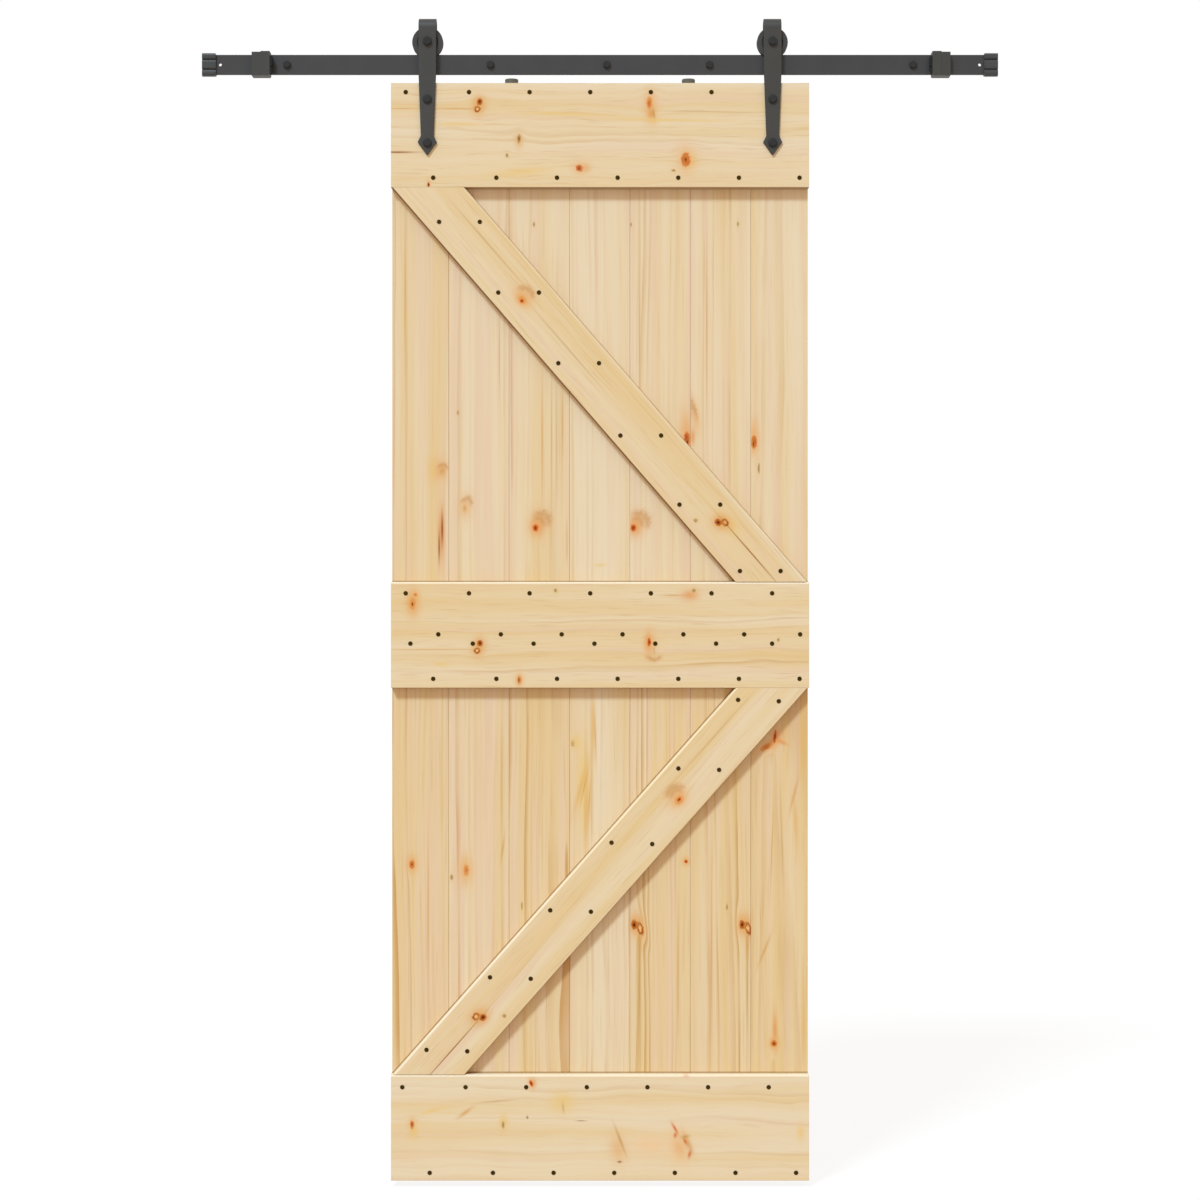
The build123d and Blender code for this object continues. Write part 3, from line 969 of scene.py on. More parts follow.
PLANK_5_MARKS = (
    Mark(Knot.BLUSH, 70, 1257, 19, 26),
    Mark(Knot.STAIN, 67, 1252, 10, 13),
    Mark(Knot.ARC, 69, 1254, 19, 25, -42),
    Mark(Knot.ARC, 67, 1253, 11, 15, -34),
    Mark(Knot.RED, 64, 1249, 5.5, 7),
    Mark(Knot.BUD, 59.5, 1832, 1.6, 4.5),
    Mark(Knot.STREAK, 76, 1600, 1.6, 160),
    Mark(Knot.BLUSH, 71, 486, 13, 20),
    Mark(Knot.STREAK, 76.5, 452, 3.4, 30),
    Mark(Knot.OLIVE, 76, 380, 2.0, 90),
    Mark(Knot.BARK, 77, 480, 6.4, 13.6, 18),
    Mark(Knot.DARK, 65.5, 487, 5.7, 9),
    Mark(Knot.BLUSH, 166, 1440, 12, 40, 6),
    Mark(Knot.RED, 167, 1420, 6, 14),
    Mark(Knot.DARK, 168, 1414, 2.2, 7, -15),
    Mark(Knot.BLUSH, 165.3, 608.8, 8, 9),
    Mark(Knot.RED, 165.3, 608.8, 3.4, 3.8),
    Mark(Knot.STREAK, 150, 400, 2.0, 120),
)
PLANK_6_MARKS = (
    Mark(Knot.BLUSH, 183, 1462, 9, 32, 8),
    Mark(Knot.ARC, 182, 1440, 8, 46, 8),
    Mark(Knot.STAIN, 178, 1424, 5, 16),
    Mark(Knot.BUD, 265, 1833, 2.0, 5),
    Mark(Knot.BLUSH, 278, 486, 13, 20),
    Mark(Knot.STREAK, 283, 452, 3.4, 30),
    Mark(Knot.OLIVE, 282.8, 370, 2.0, 95),
    Mark(Knot.BARK, 284.3, 480, 6.0, 13.6, 18),
    Mark(Knot.DARK, 273, 487, 5.7, 9),
    Mark(Knot.BUD, 244, 521, 1.8, 6),
    Mark(Knot.STREAK, 214, 420, 2.0, 150),
    Mark(Knot.STREAK, 205, 1640, 1.6, 160),
)
PLANK_7_MARKS = (
    Mark(Knot.BLUSH, 296, 1432, 8, 30),
    Mark(Knot.RED, 296, 1414, 5.5, 13),
    Mark(Knot.DARK, 295, 1410, 1.8, 7),
    Mark(Knot.BUD, 305, 1363, 2.2, 10),
    Mark(Knot.STAIN, 338, 842, 9, 22, -40),
    Mark(Knot.ORANGE, 320, 829, 14, 6, 30),
    Mark(Knot.RED, 336, 848, 3, 13, -6),
    Mark(Knot.STAIN, 349, 838, 12, 4, -25),
    Mark(Knot.HONEY, 389, 838, 5, 70),
    Mark(Knot.STREAK, 372, 734, 2.6, 32, -14),
    Mark(Knot.HONEY, 375.5, 684, 4.4, 52, 3),
    Mark(Knot.STREAK, 330, 632, 1.3, 85, -2),
    Mark(Knot.DUSK, 349, 660, 1.6, 90, 2),
    Mark(Knot.HONEY, 391, 290, 5, 90),
    Mark(Knot.STAIN, 336, 284, 5, 34),
    Mark(Knot.RED, 334, 259, 6, 6.4),
    Mark(Knot.DARK, 334, 259, 3.6, 4.2),
    Mark(Knot.STREAK, 316, 438, 2.4, 30, -22),
)
TOP_LEDGE_MARKS = (
    Mark(Knot.BLUSH, -232, 2057, 16, 11),
    Mark(Knot.BARK, -234.5, 2050, 6.2, 6),
    Mark(Knot.DARK, -230, 2064, 6.4, 5.7),
    Mark(Knot.STREAK, -278, 2051, 1.3, 42),
    Mark(Knot.STREAK, -378, 2051, 1.0, 30),
    Mark(Knot.BLUSH, -155, 1990, 14, 7),
    Mark(Knot.BUD, -155, 1993, 8.5, 3.6),
    Mark(Knot.CRACK, -155, 1993.5, 4, 1.8),
    Mark(Knot.BUD, -178, 1961.5, 4, 2.6),
    Mark(Knot.RED, -39, 1937, 6.6, 7.2),
    Mark(Knot.BLUSH, -27, 1938, 8, 9),
    Mark(Knot.SMEAR, 174, 1951, 14, 12),
    Mark(Knot.RED, 164, 1953, 13.5, 8.8),
    Mark(Knot.DARK, 164, 1953, 6, 2.6),
    Mark(Knot.BLUSH, 98, 2050, 28, 11),
    Mark(Knot.ORANGE, 94.5, 2062, 12, 6),
    Mark(Knot.EMBER, 94, 2060, 6, 2.2),
    Mark(Knot.STAIN, 98, 2041, 9, 6),
    Mark(Knot.OLIVE, 103, 2040, 10, 2, 8),
    Mark(Knot.SMEAR, 103, 2026, 5, 8),
    Mark(Knot.DARK, -328, 1905.5, 4.8, 2.4),
    Mark(Knot.CRACK, -388, 1967.5, 1.8, 34),
    Mark(Knot.BUD, 141, 1932.5, 2.5, 4),
    Mark(Knot.SMEAR, -272, 2021, 3.4, 48),
    Mark(Knot.SMEAR, -68, 2041, 3.4, 80, -2),
    Mark(Knot.SMEAR, 125, 2029, 3.0, 120, -1),
    Mark(Knot.DUSK, 205, 2045, 1.2, 85, -1),
    Mark(Knot.SMEAR, -150, 1930, 8, 60, 4),
)
MIDDLE_LEDGE_MARKS = (
    Mark(Knot.STAIN, -358, 1106, 23, 11),
    Mark(Knot.ORANGE, -358.5, 1104, 11, 6),
    Mark(Knot.DARK, -359, 1103, 4, 2.2),
    Mark(Knot.ORANGE, -353, 1121, 4, 4),
    Mark(Knot.BLUSH, -232, 1021, 16, 11),
    Mark(Knot.BARK, -235, 1014, 6.2, 6),
    Mark(Knot.DARK, -229.5, 1028, 6.4, 5.7),
    Mark(Knot.STREAK, -320, 1016, 0.9, 90),
    Mark(Knot.STAIN, -154.7, 957, 11, 6),
    Mark(Knot.ORANGE, -153.8, 958.4, 7.5, 4.2),
    Mark(Knot.CRACK, -155.6, 957.4, 5, 1.6),
    Mark(Knot.BUD, -85, 1129, 4, 3.2),
    Mark(Knot.STAIN, 172, 1120, 10, 17),
    Mark(Knot.BUD, 179.5, 1129, 4, 3.4),
    Mark(Knot.STREAK, 140, 1119.5, 1.6, 22),
    Mark(Knot.BLUSH, 96, 1022, 26, 12),
    Mark(Knot.STAIN, 92, 1032, 14, 6),
    Mark(Knot.RED, 94, 1030, 8, 3.4),
    Mark(Knot.ARC, 103, 1009, 13, 12, 90),
    Mark(Knot.DUSK, 103.5, 1014, 7, 1.6),
    Mark(Knot.BUD, 341, 1034.5, 3.4, 2.4),
    Mark(Knot.SMEAR, -305, 988, 4, 17),
)
BOTTOM_LEDGE_MARKS = (
    Mark(Knot.RED, -359.3, 106.4, 8.5, 3.8),
    Mark(Knot.SMEAR, -355, 94, 12, 8),
    Mark(Knot.SMEAR, -184, 112, 16, 9),
    Mark(Knot.BUD, -185.3, 106.5, 7, 2.8),
    Mark(Knot.STAIN, -128, 187, 9, 6),
    Mark(Knot.RED, -131.6, 186, 6.5, 3.2, 20),
    Mark(Knot.CRACK, -139, 121, 2.6, 1.8),
    Mark(Knot.STREAK, -258, 130, 3.4, 16, 36),
    Mark(Knot.SMEAR, -320, 134, 4, 26, 16),
    Mark(Knot.SMEAR, -72, 150, 22, 22, 30),
    Mark(Knot.DUSK, -70.5, 139.5, 10, 2.2, 6),
    Mark(Knot.DUSK, -197, 152, 1.8, 34, 5),
    Mark(Knot.EMBER, 165, 200.5, 2.2, 6),
    Mark(Knot.PEACH, 96, 67, 18, 40),
    Mark(Knot.PEACH, 152, 68, 34, 20),
    Mark(Knot.BLUSH, 152, 62, 20, 13, 20),
    Mark(Knot.STREAK, 168, 72, 21, 5.5, 24),
    Mark(Knot.OLIVE, 163, 84, 3, 8, 10),
    Mark(Knot.EMBER, 143.3, 100, 12, 2.6, 30),
    Mark(Knot.EMBER, 144, 87, 5, 3, -8),
    Mark(Knot.EMBER, 162.7, 75.4, 6, 2.6, 25),
    Mark(Knot.EMBER, 171.5, 50.7, 7.5, 3, -14),
    Mark(Knot.BLUSH, 34, 62, 27, 16, 8),
    Mark(Knot.OLIVE, 38.5, 78, 27, 2.4, 21),
    Mark(Knot.CRACK, 37.5, 36, 2, 4),
    Mark(Knot.CRACK, -36, 114.5, 0.8, 10),
    Mark(Knot.SMEAR, 384, 92, 16, 8),
)
UPPER_BRACE_MARKS = (
    Mark(Knot.DUSK, -221, 1800, 1.9, 84),
    Mark(Knot.DUSK, -65, 1596, 1.7, 95),
    Mark(Knot.BLUSH, -146, 1692, 16, 22),
    Mark(Knot.STAIN, -149, 1686, 8, 11),
    Mark(Knot.ARC, -147, 1690, 16, 18, -75),
    Mark(Knot.ORANGE, -149, 1685, 6, 8),
    Mark(Knot.RED, -149.5, 1683, 3.6, 4),
    Mark(Knot.SMEAR, 250, 1255, 13, 22),
    Mark(Knot.BLUSH, 232, 1260, 13, 15),
    Mark(Knot.BARK, 239, 1259, 6.5, 8),
    Mark(Knot.DARK, 226, 1259.5, 6.5, 7),
    Mark(Knot.CRACK, 288, 1202, 1.2, 76),
    Mark(Knot.BUD, 183, 1263, 3.8, 3.8),
)
LOWER_BRACE_MARKS = (
    Mark(Knot.DUSK, 217, 848, 1.8, 85),
    Mark(Knot.BLUSH, 148, 736, 16, 24),
    Mark(Knot.STAIN, 151.5, 729, 9, 11),
    Mark(Knot.ARC, 148, 734, 18, 20, 70),
    Mark(Knot.ARC, 149, 732, 12, 14, 70),
    Mark(Knot.ORANGE, 151.5, 728, 7, 9),
    Mark(Knot.RED, 151.5, 729.5, 2.8, 5),
    Mark(Knot.BLUSH, -230, 314, 13, 15),
    Mark(Knot.BARK, -237, 314, 6.5, 8),
    Mark(Knot.DARK, -224, 312, 6.5, 7),
    Mark(Knot.CRACK, -283, 250, 1.2, 78),
    Mark(Knot.BUD, -183, 315, 3.8, 3.8),
)


@dataclass
class Leaf:
    """The door leaf: seven planks, three ledges and two braces of pine."""

    brace_cut: float = 0.137
    # Painted highlight on upward arrises, its share on the upper brace, and how far painted contact
    # shade reaches past each ledge.
    arris_highlight: float = 0.5
    upper_highlight_share: float = 0.35
    contact_shade_margin: float = 5.0
    pine: Pine = field(init=False)

    def __post_init__(self) -> None:
        """Finds the leaf's middle line and foot in the frame."""
        low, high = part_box("bottom_ledge")
        middle_low, middle_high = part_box("middle_ledge")
        self.pine = Pine(
            leaf_middle=(low.x + high.x) / 2,
            leaf_foot=low.z,
            middle_height=((middle_low.z + middle_high.z) / 2 - low.z) / MM,
            front=low.y,
        )

    def brace_lean(self, node: str, side: int) -> float:
        """Works out how far a brace's grain leans from upright.

        Args:
            node: The brace's node.
            side: 1 where its head leans left, -1 where it leans right.

        Returns:
            The lean in degrees.
        """
        low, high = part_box(node)
        run = high.x - low.x - self.brace_cut
        return side * math.degrees(math.atan2(run, high.z - low.z))

    def shade_edges(self) -> tuple[ShadeEdge, ...]:
        """Finds the ledge and brace edges along which painted shade lines darken the planks.

        Returns:
            The edges, in millimetres from the leaf's middle line and foot.
        """
        found: list[ShadeEdge] = []
        foot, middle = self.pine.leaf_foot, self.pine.leaf_middle
        for node, lean in (
            ("top_ledge", LEVEL),
            ("middle_ledge", LEVEL),
            ("bottom_ledge", LEVEL),
            ("upper_brace", self.brace_lean("upper_brace", 1)),
            ("lower_brace", self.brace_lean("lower_brace", -1)),
        ):
            low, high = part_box(node)
            level = lean == LEVEL
            slant = self.brace_cut * math.cos(math.radians(lean))
            half = (high.z - low.z if level else slant) / 2
            margin = self.contact_shade_margin if level else 0.0
            found.append(
                ShadeEdge(
                    ((low.x + high.x) / 2 - middle) / MM,
                    ((low.z + high.z) / 2 - foot) / MM,
                    lean,
                    half / MM,
                    (low.z - foot) / MM - margin,
                    (high.z - foot) / MM + margin,
                )
            )
        return tuple(found)

    def planks(self) -> tuple[Board, ...]:
        """Describes the planks from left to right, each with its own grain and marks.

        Returns:
            The boards.
        """
        return (
            Board(
                "plank_1", Tint.TAN, PLANK_1_MARKS, seed=1.3, pith_across=-520.0,
                pith_depth=110.0, ring=9.0, taper=0.002, wander=9.0, wander_along=900.0,
                line=0.42, vein=0.15,
            ),
            Board(
                "plank_2", Tint.ROSY, PLANK_2_MARKS, seed=4.7, pith_across=-120.0,
                pith_depth=90.0, ring=10.0, taper=0.003, wander=8.0, wander_along=1000.0,
                line=0.32, vein=0.12,
            ),
            Board(
                "plank_3", Tint.SOFT, PLANK_3_MARKS, seed=8.1, pith_across=-60.0,
                pith_depth=100.0, ring=9.0, taper=0.003, wander=9.0, wander_along=800.0,
                line=0.5, vein=0.2,
            ),
            Board(
                "plank_4", Tint.CREAM, PLANK_4_MARKS, seed=12.9, pith_across=240.0,
                pith_depth=80.0, ring=11.0, taper=0.002, wander=8.0, wander_along=900.0,
                line=0.36, vein=0.14,
            ),
            Board(
                "plank_5", Tint.FAIR, PLANK_5_MARKS, seed=17.2, pith_across=210.0,
                pith_depth=90.0, ring=9.0, taper=0.003, wander=9.0, wander_along=800.0,
                line=0.46, vein=0.18,
            ),
            Board(
                "plank_6", Tint.MELLOW, PLANK_6_MARKS, seed=21.4, pith_across=20.0,
                pith_depth=110.0, ring=10.0, taper=0.004, wander=8.0, wander_along=900.0,
                line=0.42, vein=0.18,
            ),
            Board(
                "plank_7", Tint.MELLOW, PLANK_7_MARKS, seed=26.8, pith_across=345.0,
                pith_depth=90.0, ring=9.0, taper=0.008, wander=14.0, wander_along=420.0,
                line=0.44, vein=0.18, vein_along=120.0,
            ),
        )

    def ledges(self) -> tuple[Board, ...]:
        """Describes the ledges from the top down, each with its own grain and marks.

        Returns:
            The boards.
        """
        return (
            Board(
                "top_ledge", Tint.LIGHT, TOP_LEDGE_MARKS, seed=31.5, lean=LEVEL,
                pith_across=2260.0, pith_depth=60.0, ring=12.0, taper=0.012, wander=24.0,
                wander_along=170.0, line=0.4, vein=0.3, vein_along=75.0,
            ),
            Board(
                "middle_ledge", Tint.EVEN, MIDDLE_LEDGE_MARKS, seed=36.2, lean=LEVEL,
                pith_across=820.0, pith_depth=60.0, ring=11.0, taper=0.010, wander=20.0,
                wander_along=190.0, line=0.42, vein=0.32, vein_along=80.0,
                arris_highlight=self.arris_highlight,
            ),
            Board(
                "bottom_ledge", Tint.LIGHT, BOTTOM_LEDGE_MARKS, seed=41.9, lean=LEVEL,
                pith_across=330.0, pith_depth=60.0, ring=13.0, taper=0.014, wander=26.0,
                wander_along=160.0, line=0.21, vein=0.15, vein_along=80.0,
                arris_highlight=self.arris_highlight,
            ),
        )

    def braces(self) -> tuple[Board, ...]:
        """Describes the upper and the lower brace, each with its own grain and marks.

        Returns:
            The boards.
        """
        return (
            Board(
                "upper_brace", Tint.WARM, UPPER_BRACE_MARKS, seed=47.3,
                lean=self.brace_lean("upper_brace", 1), pith_across=1190.0, pith_depth=70.0,
                ring=13.0, taper=0.006, wander=14.0, wander_along=320.0, line=0.32, vein=0.3,
                vein_along=80.0, arris_highlight=self.arris_highlight * self.upper_highlight_share,
            ),
            Board(
                "lower_brace", Tint.WARM, LOWER_BRACE_MARKS, seed=52.6,
                lean=self.brace_lean("lower_brace", -1), pith_across=-560.0, pith_depth=70.0,
                ring=13.0, taper=0.006, wander=14.0, wander_along=320.0, line=0.32, vein=0.3,
                vein_along=80.0, arris_highlight=self.arris_highlight,
            ),
        )

    def dress(self) -> None:
        """Gives every board its own wood."""
        shade_edges = self.shade_edges()
        for slot, boards, edges in (
            ("plank_pine", self.planks(), shade_edges),
            ("ledge_pine", self.ledges(), ()),
            ("brace_pine", self.braces(), ()),
        ):
            for board in boards:
                put_on(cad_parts[board.node], self.pine.material(board, edges))


@dataclass
class ScrewHeads:
    """The dark screw heads in the ledges and braces, set by rows, each with a cross recess."""

    diameter: float = 8.6 * MM
    proud: float = 0.6 * MM
    depth: float = 2.2 * MM
    recess_width: float = 1.2 * MM
    recess_length: float = 4.4 * MM
    recess_depth: float = 0.5 * MM
    seed: int = 7
    sides: int = 20
    per_row: int = 7
    pair_gap: float = 77.9
    pair_drop: float = 2.7
    point_share: float = 0.5

    def ledge_rows(self) -> list[tuple[float, float, float, float, float]]:
        """Rows on the ledges.

        Returns:
            Height above the leaf's foot, the first screw, the second, the last but one and
            the last, all in millimetres, the screws from the leaf's middle line.
        """
        return [
            (2082.4, -371.7, -250.7, 213.2, 329.2),
            (1918.7, -319.1, -198.3, 265.7, 381.7),
            (1123.7, -371.7, -250.7, 213.2, 329.2),
            (1045.2, -309.3, -189.7, 275.8, 382.8),
            (1027.4, -362.7, -243.4, 222.0, 329.2),
            (960.1, -319.1, -198.3, 265.7, 381.7),
            (178.9, -378.2, -257.2, 206.7, 322.7),
            (15.1, -325.8, -204.8, 259.1, 375.1),
        ]

    def brace_pairs(self) -> list[tuple[float, float, float]]:
        """Pairs on the braces.

        Returns:
            The left screw's place, in millimetres from the leaf's middle line and foot, and
            how far below it the right one sits.
        """
        upper = [(-307.8, 1834.2), (-194.7, 1699.0), (-79.8, 1563.9)]
        upper += [(39.0, 1425.5), (152.0, 1293.4), (267.6, 1166.3)]
        lower = [(264.1, 919.9), (149.9, 788.6), (22.0, 646.7)]
        lower += [(-95.3, 517.3), (-210.5, 389.1), (-331.9, 250.3)]
        return [(x, z, 0.0) for x, z in upper] + [(x, z, self.pair_drop) for x, z in lower]

    def places(self) -> list[Vector]:
        """Works out where every screw head sits on the front of the leaf.

        Returns:
            The places in the frame, on the boards' front face, without those under a strap.
        """
        low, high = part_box("bottom_ledge")
        middle, foot, front = (low.x + high.x) / 2, low.z, low.y
        spots: list[tuple[float, float]] = []
        for height, first, second, last_but_one, last in self.ledge_rows():
            step = (last_but_one - second) / (self.per_row - 3)
            spots.append((first, height))
            spots += [(second + step * n, height) for n in range(self.per_row - 2)]
            spots.append((last, height))
        for x, z, drop in self.brace_pairs():
            spots += [(x, z), (x + self.pair_gap, z - drop)]
        strap_low, strap_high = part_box("right_hanger_strap")
        placed = [Vector((middle + x * MM, front, foot + z * MM)) for x, z in spots]
        return [
            place
            for place in placed
            if not (strap_low.x < place.x < strap_high.x and place.z > strap_low.z)
        ]

    def tree(self) -> bpy.types.NodeTree:
        """Builds the tree that sets a screw head on each point.

        Returns:
            The Geometry Nodes tree, with named inputs for the head's sizes.
        """
        tree = bpy.data.node_groups.new("screw heads", "GeometryNodeTree")
        face = tree.interface
        face.new_socket("Geometry", in_out="INPUT", socket_type="NodeSocketGeometry")
        for name in ("Diameter", "Proud", "Depth", "Recess Width", "Recess Length", "Recess Depth"):
            face.new_socket(name, in_out="INPUT", socket_type="NodeSocketFloat")
        for name in ("Sides", "Seed"):
            face.new_socket(name, in_out="INPUT", socket_type="NodeSocketInt")
        face.new_socket("Finish", in_out="INPUT", socket_type="NodeSocketMaterial")
        face.new_socket("Geometry", in_out="OUTPUT", socket_type="NodeSocketGeometry")
        sheet = NodeSheet(tree)
        ports = sheet.node("NodeGroupInput").outputs
        given = {port.name: Value(sheet, port) for port in ports}

        head = sheet.value(
            "GeometryNodeMeshCone",
            {"fill_type": "NGON"},
            {
                "Vertices": given["Sides"],
                "Radius Top": given["Diameter"] / 2,
                "Radius Bottom": given["Diameter"] * (self.point_share / 2),
                "Depth": given["Depth"] + given["Proud"],
            },
            "Mesh",
        )
        sunk = sheet.value(
            "GeometryNodeTransform",
            None,
            {"Geometry": head, "Translation": sheet.vector(0.0, 0.0, -given["Depth"])},
        )
        long_way, short_way = given["Recess Length"], given["Recess Width"]
        bars = []
        for length, width in ((long_way, short_way), (short_way, long_way)):
            size = sheet.vector(length, width, given["Recess Depth"] * 2.0)
            bar = sheet.value("GeometryNodeMeshCube", None, {"Size": size}, "Mesh")
            lift = sheet.vector(0.0, 0.0, given["Proud"])
            moved = {"Geometry": bar, "Translation": lift}
            bars.append(sheet.value("GeometryNodeTransform", None, moved))
        cut = sheet.value(
            "GeometryNodeMeshBoolean",
            {"operation": "DIFFERENCE", "solver": "EXACT"},
            {"Mesh 1": sunk, "Mesh 2": bars},
            "Mesh",
        )
        twist = sheet.value(
            "FunctionNodeRandomValue",
            {"data_type": "FLOAT"},
            {"Min_001": 0.0, "Max_001": math.tau, "Seed": given["Seed"]},
            1,
        )
        set_out = sheet.value(
            "GeometryNodeInstanceOnPoints",
            None,
            {
                "Points": given["Geometry"],
                "Instance": cut,
                "Rotation": sheet.vector(math.pi / 2, twist, 0.0),
            },
        )
        real = sheet.value("GeometryNodeRealizeInstances", None, {"Geometry": set_out})
        finished = sheet.value(
            "GeometryNodeSetMaterial", None, {"Geometry": real, "Material": given["Finish"]}
        )
        sheet.node("NodeGroupOutput", None, {"Geometry": finished})
        return tree

    def build(self) -> None:
        """Makes all the screw heads as one plain mesh that rides on the door."""
        points = bpy.data.meshes.new("screw places")
        points.from_pydata([tuple(place) for place in self.places()], [], [])
        host = bpy.data.objects.new("screw places", points)
        bpy.context.scene.collection.objects.link(host)
        modifier = host.modifiers.new("screw heads", "NODES")
        modifier.node_group = self.tree()
        inputs = {
            "Diameter": self.diameter,
            "Proud": self.proud,
            "Depth": self.depth,
            "Recess Width": self.recess_width,
            "Recess Length": self.recess_length,
            "Recess Depth": self.recess_depth,
            "Sides": self.sides,
            "Seed": self.seed,
            "Finish": SCREW_BLACK.material(),
        }
        for item in modifier.node_group.interface.items_tree:
            if item.in_out == "INPUT" and item.name in inputs:
                modifier[item.identifier] = inputs[item.name]
        ready = host.evaluated_get(bpy.context.evaluated_depsgraph_get())
        mesh = bpy.data.meshes.new_from_object(ready)
        bpy.data.objects.remove(host)
        piece = bpy.data.objects.new("screw_heads", mesh)
        bpy.context.scene.collection.objects.link(piece)
        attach(piece, "door")
        LOG.info("%s: %d heads, %d faces", piece.name, len(self.places()), len(mesh.polygons))


@dataclass
class Hangers:
    """The two hooked straps with their wheels, bolts and nuts, and the leaf's two discs."""

    sides: tuple[str, str] = ("left", "right")

    def dress(self) -> None:
        """Coats every piece of both hangers."""
        finishes = {
            "hanger_strap": (STRAP_COAT.material(), "strap_steel"),
            "wheel": (WHEEL_COAT.material(), "wheel_steel"),
            "jump_disc": (DISC_PLASTIC.material(), "disc_plastic"),
        }
        black = BOLT_BLACK.material()
        for bolt in ("strap_bolts", "strap_nuts", "axle_bolt", "axle_nut"):
            finishes[bolt] = (black, "bolt_steel")
        for side in self.sides:
            for piece, (material, slot) in finishes.items():
                put_on(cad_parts[f"{side}_{piece}"], material)


@dataclass
class Track:
    """The rail with its wall bolts, spacers, end stops and caps."""

    fixings: int = 5
    sides: tuple[str, str] = ("left", "right")

    def dress(self) -> None:
        """Coats every piece of the track."""
        coat = RAIL_COAT.material()
        black = BOLT_BLACK.material()
        put_on(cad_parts["track_rail"], coat)
        for number in range(1, self.fixings + 1):
            put_on(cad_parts[f"wall_spacer_{number}"], coat)
            put_on(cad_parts[f"rail_bolt_{number}"], black)
        finishes = {
            "stop_block": (STOP_COAT.material(), "stop_steel"),
            "stop_bumper": (BUMPER_RUBBER.material(), "bumper_rubber"),
            "end_cap": (CAP_PLASTIC.material(), "cap_plastic"),
        }
        for side in self.sides:
            for piece, (material, slot) in finishes.items():
                put_on(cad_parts[f"{side}_{piece}"], material)


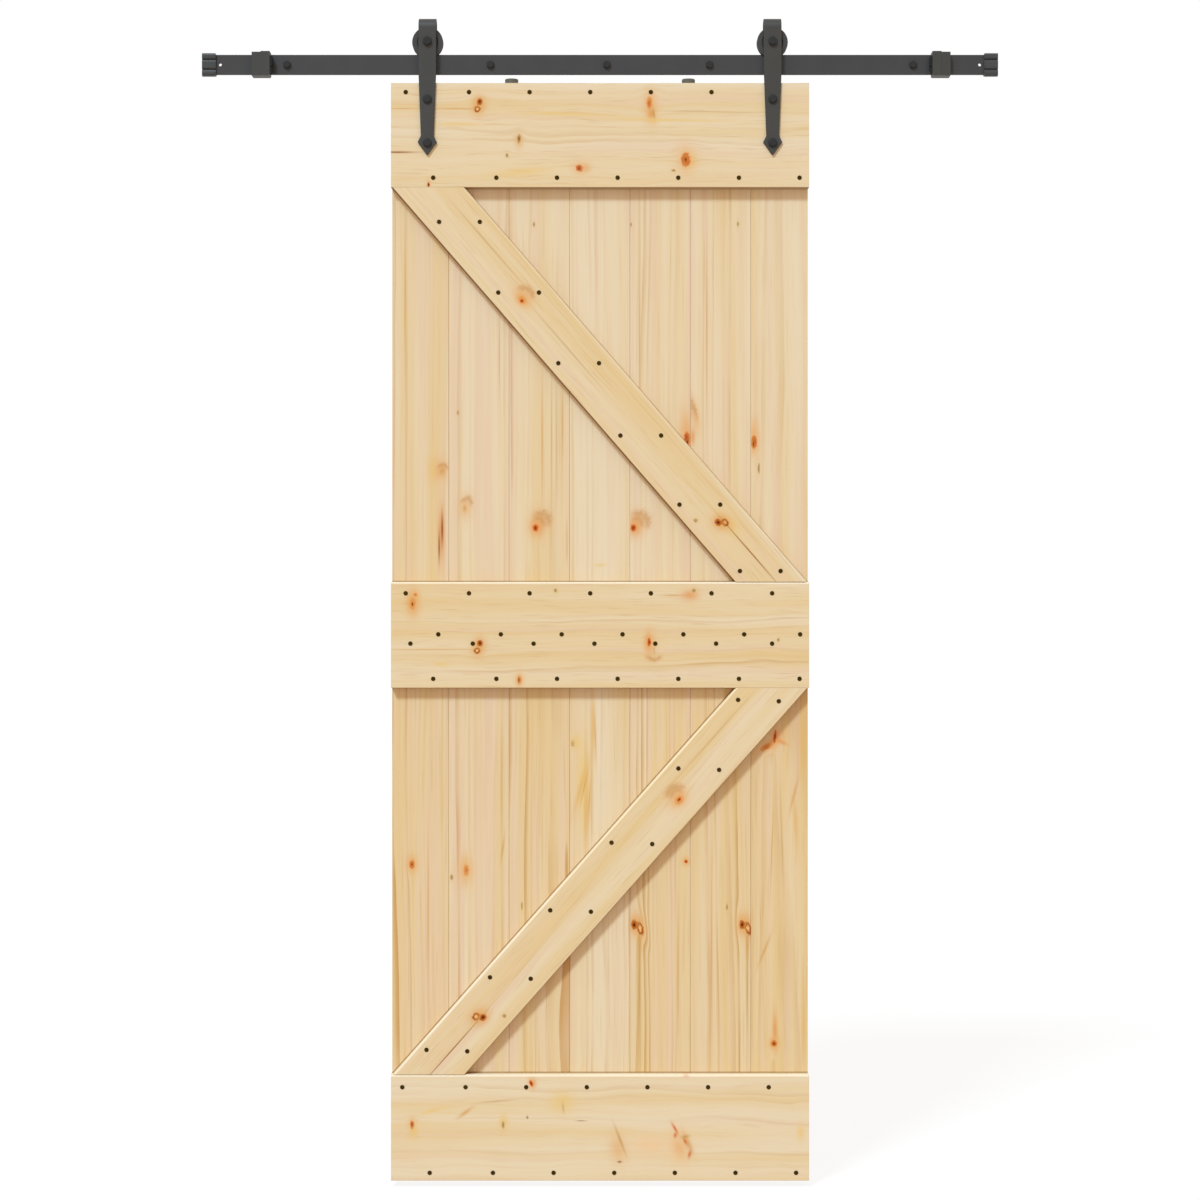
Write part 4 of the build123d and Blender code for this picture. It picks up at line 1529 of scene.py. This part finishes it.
@dataclass
class Studio:
    """A white studio: one soft key light from the upper left, a pale floor and the camera.

    The warm fill and the cool key add up to plain white on a face that looks at the camera.
    """

    camera_distance: float = 5.0
    view_width: float = 2.2956
    camera_height: float = 1.1108
    sensor: float = 36.0
    key_travel: tuple[float, float, float] = (0.32, 0.625, -0.71)
    key_angle: float = 10.0
    key_strength: float = 2.56
    key_colour: tuple[float, float, float] = (0.588, 0.814, 1.0)
    fill: Colour = (0.70, 0.585, 0.49, 1.0)
    floor_gap: float = 0.012
    floor_half: float = 6.0
    floor_shade: Colour = (0.95, 0.95, 0.95, 1.0)
    floor_glow: float = 0.86
    floor_white: float = 1.01

    def build(self) -> None:
        """Sets up the world, light, floor and camera."""
        bpy.context.scene.view_settings.view_transform = "Standard"
        self.sky()
        self.key_light()
        self.floor()
        self.camera()

    def seen(self, sheet: NodeSheet) -> Value:
        """Tells the rays that show a surface from those that only light others.

        Args:
            sheet: The sheet to work on.

        Returns:
            1 for a ray from the camera, a mirror or through glass, and 0 for any other.
        """
        ray = sheet.node("ShaderNodeLightPath").outputs
        kinds = ("Is Camera Ray", "Is Glossy Ray", "Is Transmission Ray")
        camera, mirror, glass = (Value(sheet, ray[kind]) for kind in kinds)
        return camera.at_least(mirror).at_least(glass)

    def sky(self) -> None:
        """A plain world: white where it is seen or mirrored, and the warm fill elsewhere."""
        world = bpy.data.worlds.new("white studio")
        world.use_nodes = True
        bpy.context.scene.world = world
        sheet = NodeSheet(world.node_tree)
        shade = sheet.mix(self.seen(sheet), self.fill, WHITE)
        light = sheet.node("ShaderNodeBackground", None, {"Color": shade, "Strength": 1.0})
        sheet.node("ShaderNodeOutputWorld", None, {"Surface": light.outputs[0]})

    def key_light(self) -> None:
        """A broad light far off to the upper left."""
        lamp = bpy.data.lights.new("key light", "SUN")
        lamp.energy = self.key_strength
        lamp.color = self.key_colour
        lamp.angle = math.radians(self.key_angle)
        key = bpy.data.objects.new("key light", lamp)
        key.rotation_mode = "QUATERNION"
        key.rotation_quaternion = Vector(self.key_travel).to_track_quat("-Z", "Y")
        bpy.context.scene.collection.objects.link(key)

    def floor(self) -> None:
        """A pale floor under the leaf: white with a faint shadow where seen, fill elsewhere."""
        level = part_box("bottom_ledge")[0].z - self.floor_gap
        half = self.floor_half
        ways = ((-1, -1), (1, -1), (1, 1), (-1, 1))
        corners = [(over * half, back * half, level) for over, back in ways]
        mesh = bpy.data.meshes.new("floor")
        mesh.from_pydata(corners, [], [(0, 1, 2, 3)])
        floor = bpy.data.objects.new("floor", mesh)
        bpy.context.scene.collection.objects.link(floor)
        material, sheet = new_material("pale floor")
        matt = sheet.node("ShaderNodeBsdfDiffuse", None, {"Color": self.floor_shade})
        white = {"Color": WHITE, "Strength": self.floor_white}
        glow = sheet.node("ShaderNodeEmission", None, white)
        fill = sheet.node("ShaderNodeEmission", None, {"Color": self.fill, "Strength": 1.0})
        pale = sheet.node(
            "ShaderNodeMixShader",
            None,
            {"Fac": self.floor_glow, "Shader": matt.outputs[0], "Shader_001": glow.outputs[0]},
        )
        either = sheet.node(
            "ShaderNodeMixShader",
            None,
            {"Fac": self.seen(sheet), "Shader": fill.outputs[0], "Shader_001": pale.outputs[0]},
        )
        sheet.node("ShaderNodeOutputMaterial", None, {"Surface": either.outputs[0]})
        mesh.materials.append(material)

    def camera(self) -> None:
        """A camera square to the leaf, at the height of the photograph's middle."""
        low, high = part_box("bottom_ledge")
        lens = bpy.data.cameras.new("camera")
        lens.sensor_width = self.sensor
        lens.lens = self.sensor * self.camera_distance / self.view_width
        camera = bpy.data.objects.new("camera", lens)
        camera.location = (
            (low.x + high.x) / 2,
            low.y - self.camera_distance,
            low.z + self.camera_height,
        )
        camera.rotation_euler = (math.pi / 2, 0.0, 0.0)
        bpy.context.scene.collection.objects.link(camera)
        bpy.context.scene.camera = camera


def main() -> None:
    """Builds the classes in order."""
    logging.basicConfig(level=logging.INFO, format="%(name)s: %(message)s")
    Leaf().dress()
    ScrewHeads().build()
    Hangers().dress()
    Track().dress()
    Studio().build()


if __name__ == "__main__":
    main()
